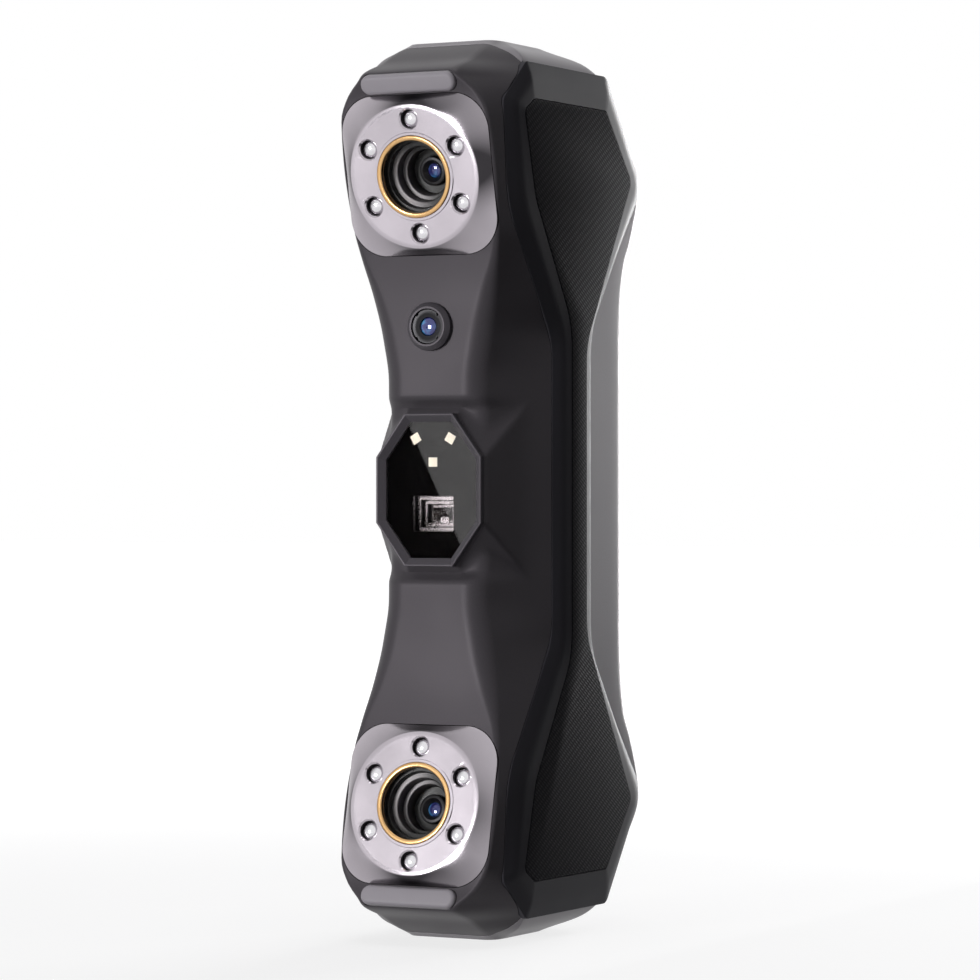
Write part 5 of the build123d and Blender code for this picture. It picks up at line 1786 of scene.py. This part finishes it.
# ---- centre window ------------------------------------------------------------------------------
@dataclass
class CentreWindow:
    """Octagonal frame, dark glass, flash LEDs and pattern projector."""

    half_width: float = 14.2
    half_height: float = 18.1
    top_half: float = 6.5
    side_half: float = 7.8
    height: float = 1.6
    glass_level: float = 0.2
    mouth: tuple = (11.0, 8.6)
    mouth_h: float = -5.6
    mouth_steps: int = 3
    ledge: float = 1.0
    ledge_depth: float = 1.5
    tile: tuple = (2.2, 1.5)
    tile_at: tuple = (0.7, -1.6)

    def border(self) -> bpy.types.Object:
        """Frame with a thin lip and a bevel that falls to the glass.

        Returns:
            The frame.
        """
        corners = octagon(self.half_width, self.half_height, self.top_half, self.side_half, 0.5)
        levels = [(0.0, -0.9), (0.0, self.height - 0.22), (0.07, self.height - 0.07),
                  (0.22, self.height), (0.42, self.height), (0.56, self.height - 0.05),
                  (0.66, self.height - 0.14), (2.0, self.glass_level + 0.02), (2.0, -0.9)]
        rings = [lifted(outline(inset(corners, step), 4), z) for step, z in levels]
        return form("window_border", Skin(rings, loop=True), place=front_place(NECK_FACE_Y))

    def mask(self) -> bpy.types.Object:
        """Black sheet behind the glass, open for the projector: painted shade that keeps the space behind
        the glass dark.

        Returns:
            The sheet.
        """
        corners = octagon(self.half_width - 1.2, self.half_height - 1.2, self.top_half - 0.5,
                          self.side_half - 0.5)
        width, height = self.mouth
        back = max(millimetres("flash_board")[0].y, millimetres("projector_housing")[0].y)
        place = front_place(back - 0.1)
        sheet = form("window_shade_sheet", prism(corners, 0.0, 0.25, 1), place=place)
        opening = prism(rectangle(width - 0.1, height - 0.1, 0.3), -1.0, 1.0, 4)
        carve(sheet, [form("mouth_tool", opening, place=place.shifted(y=self.mouth_h))])
        return sheet

    def projector(self) -> bpy.types.Object:
        """Projector housing: a black block with a stepped metal mouth.

        Returns:
            The housing, with its block darkened to black and painted shade on the mouth's walls and lower
            left, as a value at its points.
        """
        low, high = millimetres("projector_housing")
        width, height = self.mouth
        corners = rectangle(width, height, 0.3)
        block = rectangle(high.x - low.x, high.z - low.z, 1.0)
        # The last number of each level is how dark it is painted: painted shade on the steps' walls, full
        # black on the block.
        levels = [(block, 0.0, low.y - high.y, 1.0), (block, 0.0, -0.2, 1.0), (block, 0.2, 0.0, 1.0),
                  (corners, -0.1, 0.0, 1.0)]
        for step in range(self.mouth_steps):
            edge, level = step * self.ledge, -step * self.ledge_depth
            levels += [(corners, edge, level, 0.1), (corners, edge + 0.1, level - 0.1, 0.0),
                       (corners, edge + 0.12, level - 0.5 * self.ledge_depth, 0.9),
                       (corners, edge + 0.12, level - self.ledge_depth, 0.95),
                       (corners, edge + 0.4, level - self.ledge_depth, 0.25)]
        levels.append((corners, self.mouth_steps * self.ledge, -self.mouth_steps * self.ledge_depth, 1.0))
        flat = [outline(inset(shape, edge), 4) for shape, edge, _, _ in levels]
        rings = [lifted(points, level) for points, (_, _, level, _) in zip(flat, levels)]
        floor = -self.mouth_steps * self.ledge_depth
        tile = prism([(u + self.tile_at[0], v + self.tile_at[1], radius)
                      for u, v, radius in rectangle(*self.tile, 0.1)], floor, floor + 0.4, 3)
        piece = form("projector_mouth", Skin(rings), tile, place=front_place(low.y, self.mouth_h))
        tone = []
        # Painted shade: darker towards the lower left, as if lit from the upper right.
        for points, (_, _, _, dark) in zip(flat, levels):
            lit = smooth_step(-0.6, 0.3, points[:, 0] / width + points[:, 1] / height)
            tone.append(1.0 - (1.0 - dark) * (0.12 + 0.88 * lit))
        tone.append(np.full(sum(len(ring) for ring in tile.rings), 0.05))
        mark_points(piece, "tone", 0.98 * np.concatenate(tone))
        return piece

    def build(self) -> None:
        """Make the frame and the projector's mouth."""
        settle(self.border(), BEZEL_PLASTIC, ["window_frame"], sharp=24.0)
        # A black sheet as painted shade behind the window glass.
        settle(self.mask(), MASK_BLACK, sharp=24.0)
        settle(self.projector(), PROJECTOR_METAL, ["projector_housing"])

    def dress(self) -> None:
        """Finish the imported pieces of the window."""
        dress_nodes({
            "window_glass": DARK_GLASS,
            "flash_board": MASK_BLACK,
            "flash_leds": PHOSPHOR,
            "projector_lens": LENS_COATING,
        })


# ---- colour camera ------------------------------------------------------------------------------
@dataclass
class ColourCamera:
    """Small camera on the upper neck: ring, focus barrel and lens."""

    h: float = 38.6
    base_radius: float = 5.75
    front_radius: float = 4.75
    bore: float = 4.2
    proud: float = 1.7
    sunk: float = 1.2                # how far the ring's foot reaches into the neck
    lens_radius: float = 2.1
    notch: float = 0.9

    @property
    def place(self) -> Place:
        """Frame on the ring's seat."""
        seat_y = -millimetres("colour_ring")[0].y - self.proud
        return front_place(-seat_y, self.h)

    def ring(self) -> bpy.types.Object:
        """Chamfered ring.

        Returns:
            The ring.
        """
        profile = outline([
            (self.base_radius, -self.sunk, 0.02), (self.base_radius, self.proud * 0.35, 0.15),
            (self.front_radius, self.proud, 0.15), (self.bore, self.proud, 0.08),
            (self.bore, -5.0, 0.02), (self.front_radius, -5.0, 0.02), (self.front_radius, -self.sunk, 0.02),
        ], 4)
        skin = Skin(turned_rings(profile, 96), loop=True)
        return form("colour_camera_ring", skin, place=self.place)

    def barrel(self) -> bpy.types.Object:
        """Focus barrel with four spanner notches.

        Returns:
            The notched barrel.
        """
        outer, front = self.bore - 0.12, self.proud - 0.45
        cone = self.lens_radius + 0.95
        profile = [(outer, -6.9), (outer, front - 0.12), (outer - 0.12, front), (cone + 0.1, front),
                   (cone, front - 0.06), (self.lens_radius + 0.35, front - 0.35),
                   (self.lens_radius + 0.2, front - 0.3), (self.lens_radius + 0.05, front - 0.55),
                   (self.lens_radius + 0.05, front - 2.0)]
        barrel = form("colour_camera_barrel", Skin(turned_rings(profile, 96)), place=self.place)
        tools = []
        for index in range(4):
            angle = math.pi / 4 + math.pi / 2 * index
            spot = self.place.shifted(outer * math.cos(angle), outer * math.sin(angle))
            block = prism(rectangle(self.notch, self.notch, 0.05), front - 0.6, front + 1.0, 2)
            tools.append(form("notch_tool", block, place=spot))
        carve(barrel, tools)
        return barrel

    def glass(self) -> bpy.types.Object:
        """Domed lens.

        Returns:
            The lens.
        """
        base, top = self.proud - 2.5, self.proud - 1.2
        profile = [(self.lens_radius, base)]
        for step in range(13):
            angle = math.pi / 2 * step / 12
            radius = max(self.lens_radius * math.cos(angle), 0.02)
            profile.append((radius, top + 0.7 * math.sin(angle)))
        return form("colour_camera_lens", Skin(turned_rings(profile, 64)), place=self.place)

    def build(self) -> None:
        """Make ring, barrel and lens."""
        settle(self.ring(), BEZEL_PLASTIC, ["colour_ring"])
        settle(self.barrel(), BLACK_METAL, ["colour_barrel"])
        settle(self.glass(), LENS_COATING, ["colour_glass"])

    def dress(self) -> None:
        """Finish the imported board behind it."""
        dress_nodes({"colour_board": BOARD_MASK})


# ---- inner pieces, rear controls and lower end --------------------------------------------------
@dataclass
class Inside:
    """Frame, boards and screws that the shells hide."""

    def dress(self) -> None:
        """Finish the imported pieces."""
        dress_nodes({
            "inner_frame": BLACK_ANODISED,
            "main_board": BOARD_MASK,
            "processor": CHIP_RESIN,
            "heat_sink": ALUMINIUM,
            "frame_screws": STEEL,
            "board_screws": STEEL,
            "shell_screws": STEEL,
            "button_board": BOARD_MASK,
            "tactile_switches": CHIP_RESIN,
            "usb_board": BOARD_MASK,
        })


class Sign(Enum):
    """Raised signs on the buttons' caps."""

    TRIANGLE = "start"
    RING = "ring"
    PLUS = "plus"
    MINUS = "minus"


@dataclass
class PushButton:
    """Rubber cap with its flange and stem, and the raised sign on it."""

    name: str
    h: float
    width: float
    height: float
    sign: Sign
    proud: float = 1.0
    under: float = -1.5
    flange: float = 0.8
    flange_thickness: float = 1.0
    stem_radius: float = 1.0
    stem_end: float = -6.4
    edge: float = 0.5
    sign_reach: float = 1.35
    sign_width: float = 0.45
    sign_rise: float = 0.07

    def corners(self, margin: float = 0.0) -> list[Corner]:
        """Outline of the cap, made larger by a margin."""
        round_end = self.height / 2 + margin - 0.02
        return rectangle(self.width + 2 * margin, self.height + 2 * margin, round_end)

    def sign_skins(self) -> list[Skin]:
        """Blocks that make up the sign.

        Returns:
            The blocks, sunk a little into the cap.
        """
        low, high = self.proud - 0.2, self.proud + self.sign_rise
        reach, width = self.sign_reach, self.sign_width
        bar = prism(rectangle(2 * reach, width, width / 2 - 0.02), low, high, 6)
        upright = prism(rectangle(width, 2 * reach, width / 2 - 0.02), low + 0.02, high - 0.012, 6)
        corner = reach * 1.3
        back = -corner * 0.62
        triangle = [(back, -corner, 0.25), (corner, 0.0, 0.25), (back, corner, 0.25)]
        inner, outer = reach - width, reach
        edge = [(outer, low, 0.02), (outer, high, 0.05), (inner, high, 0.05), (inner, low, 0.02)]
        ring = outline(edge, 3)
        return {
            Sign.TRIANGLE: [prism(triangle, low, high, 6)],
            Sign.RING: [Skin(turned_rings(ring, 64), loop=True)],
            Sign.PLUS: [bar, upright],
            Sign.MINUS: [bar],
        }[self.sign]

    def build(self) -> None:
        """Make the cap and its sign."""
        place = rear_place(WAIST_REAR_Y, self.h)
        cap = soft_block(self.corners(), self.under - 0.1, self.proud, self.edge, arc=14, steps=6)
        foot = self.under - self.flange_thickness
        flange = prism(self.corners(self.flange), foot, self.under, 14)
        stem = cylinder(self.stem_radius, self.stem_end, self.under, 32)
        body = f"{self.name}_body"
        button = form(f"{self.name}_cap", cap, flange, stem, place=place)
        settle(button, BUTTON_RUBBER, [self.name], body)
        sign = form(f"{self.name}_sign", *self.sign_skins(), place=place)
        settle(sign, SIGN_WHITE, body=body)


@dataclass
class RearControls:
    """Bezel, buttons and status lights on the back."""

    width: float = 18.0
    height: float = 64.0
    h: float = 12.0
    seat: float = 1.2
    proud: float = 0.3
    edge: float = 0.28
    gap: float = 0.3
    light_radius: float = 0.8
    light_h: float = 27.3
    light_pitch: float = 4.0
    light_gap: float = 0.1
    scan_size: float = 12.4
    scan_h: float = 4.0
    pill: tuple = (9.5, 6.0)
    pill_heights: tuple = (35.0, 19.5, -11.5)

    def buttons(self) -> list[PushButton]:
        """The four buttons.

        Returns:
            The buttons, from the one that starts a scan.
        """
        mode_h, plus_h, minus_h = self.pill_heights
        return [
            PushButton("scan_button", self.scan_h, self.scan_size, self.scan_size, Sign.TRIANGLE),
            PushButton("mode_button", mode_h, *self.pill, Sign.RING),
            PushButton("plus_button", plus_h, *self.pill, Sign.PLUS),
            PushButton("minus_button", minus_h, *self.pill, Sign.MINUS),
        ]

    def bezel(self) -> bpy.types.Object:
        """Slim bezel with a rounded edge, open for the buttons and lights.

        Returns:
            The bezel.
        """
        place = rear_place(WAIST_REAR_Y, self.h)
        corners = rectangle(self.width, self.height, self.width / 2 - 0.02)
        panel = form("control_bezel", soft_block(corners, -self.seat, self.proud, self.edge, arc=16),
                     place=place)
        tools = [
            form("button_tool", prism(button.corners(self.gap), -9.0, 9.0, 14),
                 place=rear_place(WAIST_REAR_Y, button.h))
            for button in self.buttons()
        ]
        for x in (-self.light_pitch, 0.0, self.light_pitch):
            hole = cylinder(self.light_radius + self.light_gap, -9.0, 9.0, 32)
            tools.append(form("light_tool", hole,
                              place=rear_place(WAIST_REAR_Y, self.light_h).shifted(x=x)))
        carve(panel, tools)
        return panel

    def build(self) -> None:
        """Make the bezel and the buttons."""
        settle(self.bezel(), PANEL_PLASTIC, ["control_panel"])
        for button in self.buttons():
            button.build()

    def dress(self) -> None:
        """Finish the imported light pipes."""
        dress_nodes({"status_lights": LIGHT_PIPE})


@dataclass
class LowerEnd:
    """Threaded tripod insert and USB socket under the lower end."""

    radius: float = 5.0
    bore: float = 3.2
    crest: float = 2.85
    pitch: float = 1.27
    recess: float = 0.3
    length: float = 9.0
    y: float = -7.0

    def insert(self) -> bpy.types.Object:
        """Brass insert with the grooves of its thread.

        Returns:
            The insert.
        """
        low, high = self.recess, self.recess + self.length
        profile = [(self.radius, high), (self.radius, low + 0.15), (self.radius - 0.15, low),
                   (self.bore + 0.25, low)]
        z = low + 0.3
        while z + self.pitch < high:
            profile += [(self.bore, z), (self.crest, z + 0.45 * self.pitch),
                        (self.crest, z + 0.6 * self.pitch)]
            z += self.pitch
        profile += [(self.bore, z), (self.bore, high)]
        return form("tripod_thread", Skin(turned_rings(profile, 64), loop=True),
                    place=Place((0.0, self.y, 0.0)))

    def build(self) -> None:
        """Make the insert."""
        settle(self.insert(), BRASS, ["tripod_insert"])

    def dress(self) -> None:
        """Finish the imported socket."""
        dress_nodes({"usb_socket": STEEL})


# ---- studio -------------------------------------------------------------------------------------
@dataclass
class Softbox:
    """Rectangular area lamp."""

    name: str
    place: tuple[float, float, float]
    aim: tuple[float, float, float]
    size: tuple[float, float]
    watts: float

    def build(self) -> None:
        """Hang the lamp."""
        lamp = bpy.data.lights.new(self.name, "AREA")
        lamp.shape = "RECTANGLE"
        lamp.size, lamp.size_y = self.size
        lamp.energy = self.watts
        made = bpy.data.objects.new(self.name, lamp)
        made.location = self.place
        look = Vector(self.aim) - Vector(self.place)
        made.rotation_euler = look.to_track_quat("-Z", "Y").to_euler()
        bpy.context.scene.collection.objects.link(made)


@dataclass
class Studio:
    """Camera, lamps, white surroundings and floor."""

    azimuth: float = 28.3            # degrees by which the camera stands to the right of the front
    distance: float = 0.98
    focal_length: float = 148.3
    sensor: float = 36.0
    floor_half: float = 6.0
    fill: float = 0.09               # strength of the surroundings' light on the object
    floor_glow: float = 0.78         # what the camera sees beyond the floor's own light

    def camera(self) -> None:
        """Camera level with the middle of the body."""
        turn = math.radians(self.azimuth)
        target = Vector((0.0, 1.2 * MM, MIDDLE * MM))
        lens = bpy.data.cameras.new("camera")
        lens.sensor_width, lens.lens = self.sensor, self.focal_length
        lens.clip_start, lens.clip_end = 0.01, 50.0
        made = bpy.data.objects.new("camera", lens)
        made.location = target + Vector((math.sin(turn), -math.cos(turn), 0.0)) * self.distance
        made.rotation_euler = (target - made.location).to_track_quat("-Z", "Y").to_euler()
        bpy.context.scene.collection.objects.link(made)
        bpy.context.scene.camera = made

    def surroundings(self) -> None:
        """White for the camera and for reflections, and a plain fill on the object."""
        world = bpy.data.worlds.new("surroundings")
        sheet = NodeSheet(world)
        white = sheet.node("ShaderNodeBackground", inputs={"Color": WHITE, "Strength": 1.0})
        soft = sheet.node("ShaderNodeBackground", inputs={"Color": SOFT_WHITE, "Strength": self.fill})
        both = sheet.node("ShaderNodeMixShader", inputs={0: sheet.seen(), 1: soft, 2: white})
        sheet.node("ShaderNodeOutputWorld", inputs={"Surface": both})
        bpy.context.scene.world = world

    def floor(self) -> None:
        """White floor that keeps the shadow."""
        half = self.floor_half
        shape = bmesh.new()
        corners = [(-half, -half, 0.0), (half, -half, 0.0), (half, half, 0.0), (-half, half, 0.0)]
        shape.faces.new([shape.verts.new(corner) for corner in corners])
        mesh = bpy.data.meshes.new("floor")
        shape.to_mesh(mesh)
        shape.free()
        made = bpy.data.objects.new("floor", mesh)
        bpy.context.scene.collection.objects.link(made)
        sheet = NodeSheet(bpy.data.materials.new("floor_white"))
        place = sheet.position()
        away = sheet.node("ShaderNodeVectorMath", {"operation": "LENGTH"}, {0: place}, output="Value")
        level = self.floor_glow + away.span(0.12, 0.7) * (1.0 - self.floor_glow)
        glow = sheet.mix(level * sheet.seen().span(0.0, 1.0), BLACK, WHITE)
        grain = sheet.noise(40.0, 2.0)
        colour = sheet.mix(grain, srgb(124, 124, 126), srgb(130, 130, 131))
        mesh.materials.append(sheet.surface({
            "Base Color": colour, "Roughness": 0.9, "Specular IOR Level": 0.1,
            "Emission Color": glow, "Emission Strength": 1.0,
        }))

    def card(self, name: str, place: Place, width: float, height: float) -> None:
        """Hang a black card that only reflections see.

        Args:
            name: name of the card.
            place: frame on its middle, whose Z looks at the object.
            width: width in millimetres.
            height: height in millimetres.
        """
        made = form(name, prism(rectangle(width, height, 1.0), -1.0, 0.0, 2), place=place)
        made.visible_camera = made.visible_diffuse = made.visible_shadow = False
        made.data.materials.append(CARD_CLOTH.material())

    def build(self) -> None:
        """Set the whole studio up."""
        self.camera()
        self.surroundings()
        self.floor()
        self.card("side_card", Place((420.0, 720.0, 140.0), (0.864, -0.504, 0.0),
                                     (-0.504, -0.864, 0.0)), 740.0, 1600.0)
        self.card("glass_card", Place((-314.9, -539.5, 96.6), (-0.8037, 0.4478, -0.393),
                                      (0.4867, 0.8736, 0.0)), 60.0, 120.0)
        self.card("floor_card", Place((450.0, 330.0, 2.0)), 780.0, 900.0)
        middle = (0.0, 0.0, MIDDLE * MM)
        for lamp in (
            Softbox("key", (-0.434, -1.377, 0.105), middle, (0.34, 0.4), 18.0),
            Softbox("rim", (0.02, 1.42, 0.24), middle, (0.7, 0.75), 23.0),
            Softbox("top", (0.0, 0.0, 1.3), middle, (0.6, 0.6), 3.0),
        ):
            lamp.build()
        bpy.context.scene.view_settings.view_transform = "Standard"


def main() -> None:
    """Build every sub-assembly in turn."""
    logging.basicConfig(level=logging.INFO, format="%(name)s %(message)s")
    Studio().build()
    shells = Shells()
    shells.build()
    for hand in Hand:
        Grip(hand).build()
    for half in Half:
        head = CameraHead(half)
        head.build(shells.bumper_place(half))
        head.dress()
    window = CentreWindow()
    window.build()
    window.dress()
    colour_camera = ColourCamera()
    colour_camera.build()
    colour_camera.dress()
    Inside().dress()
    for group in (RearControls(), LowerEnd()):
        group.build()
        group.dress()


if __name__ == "__main__":
    main()
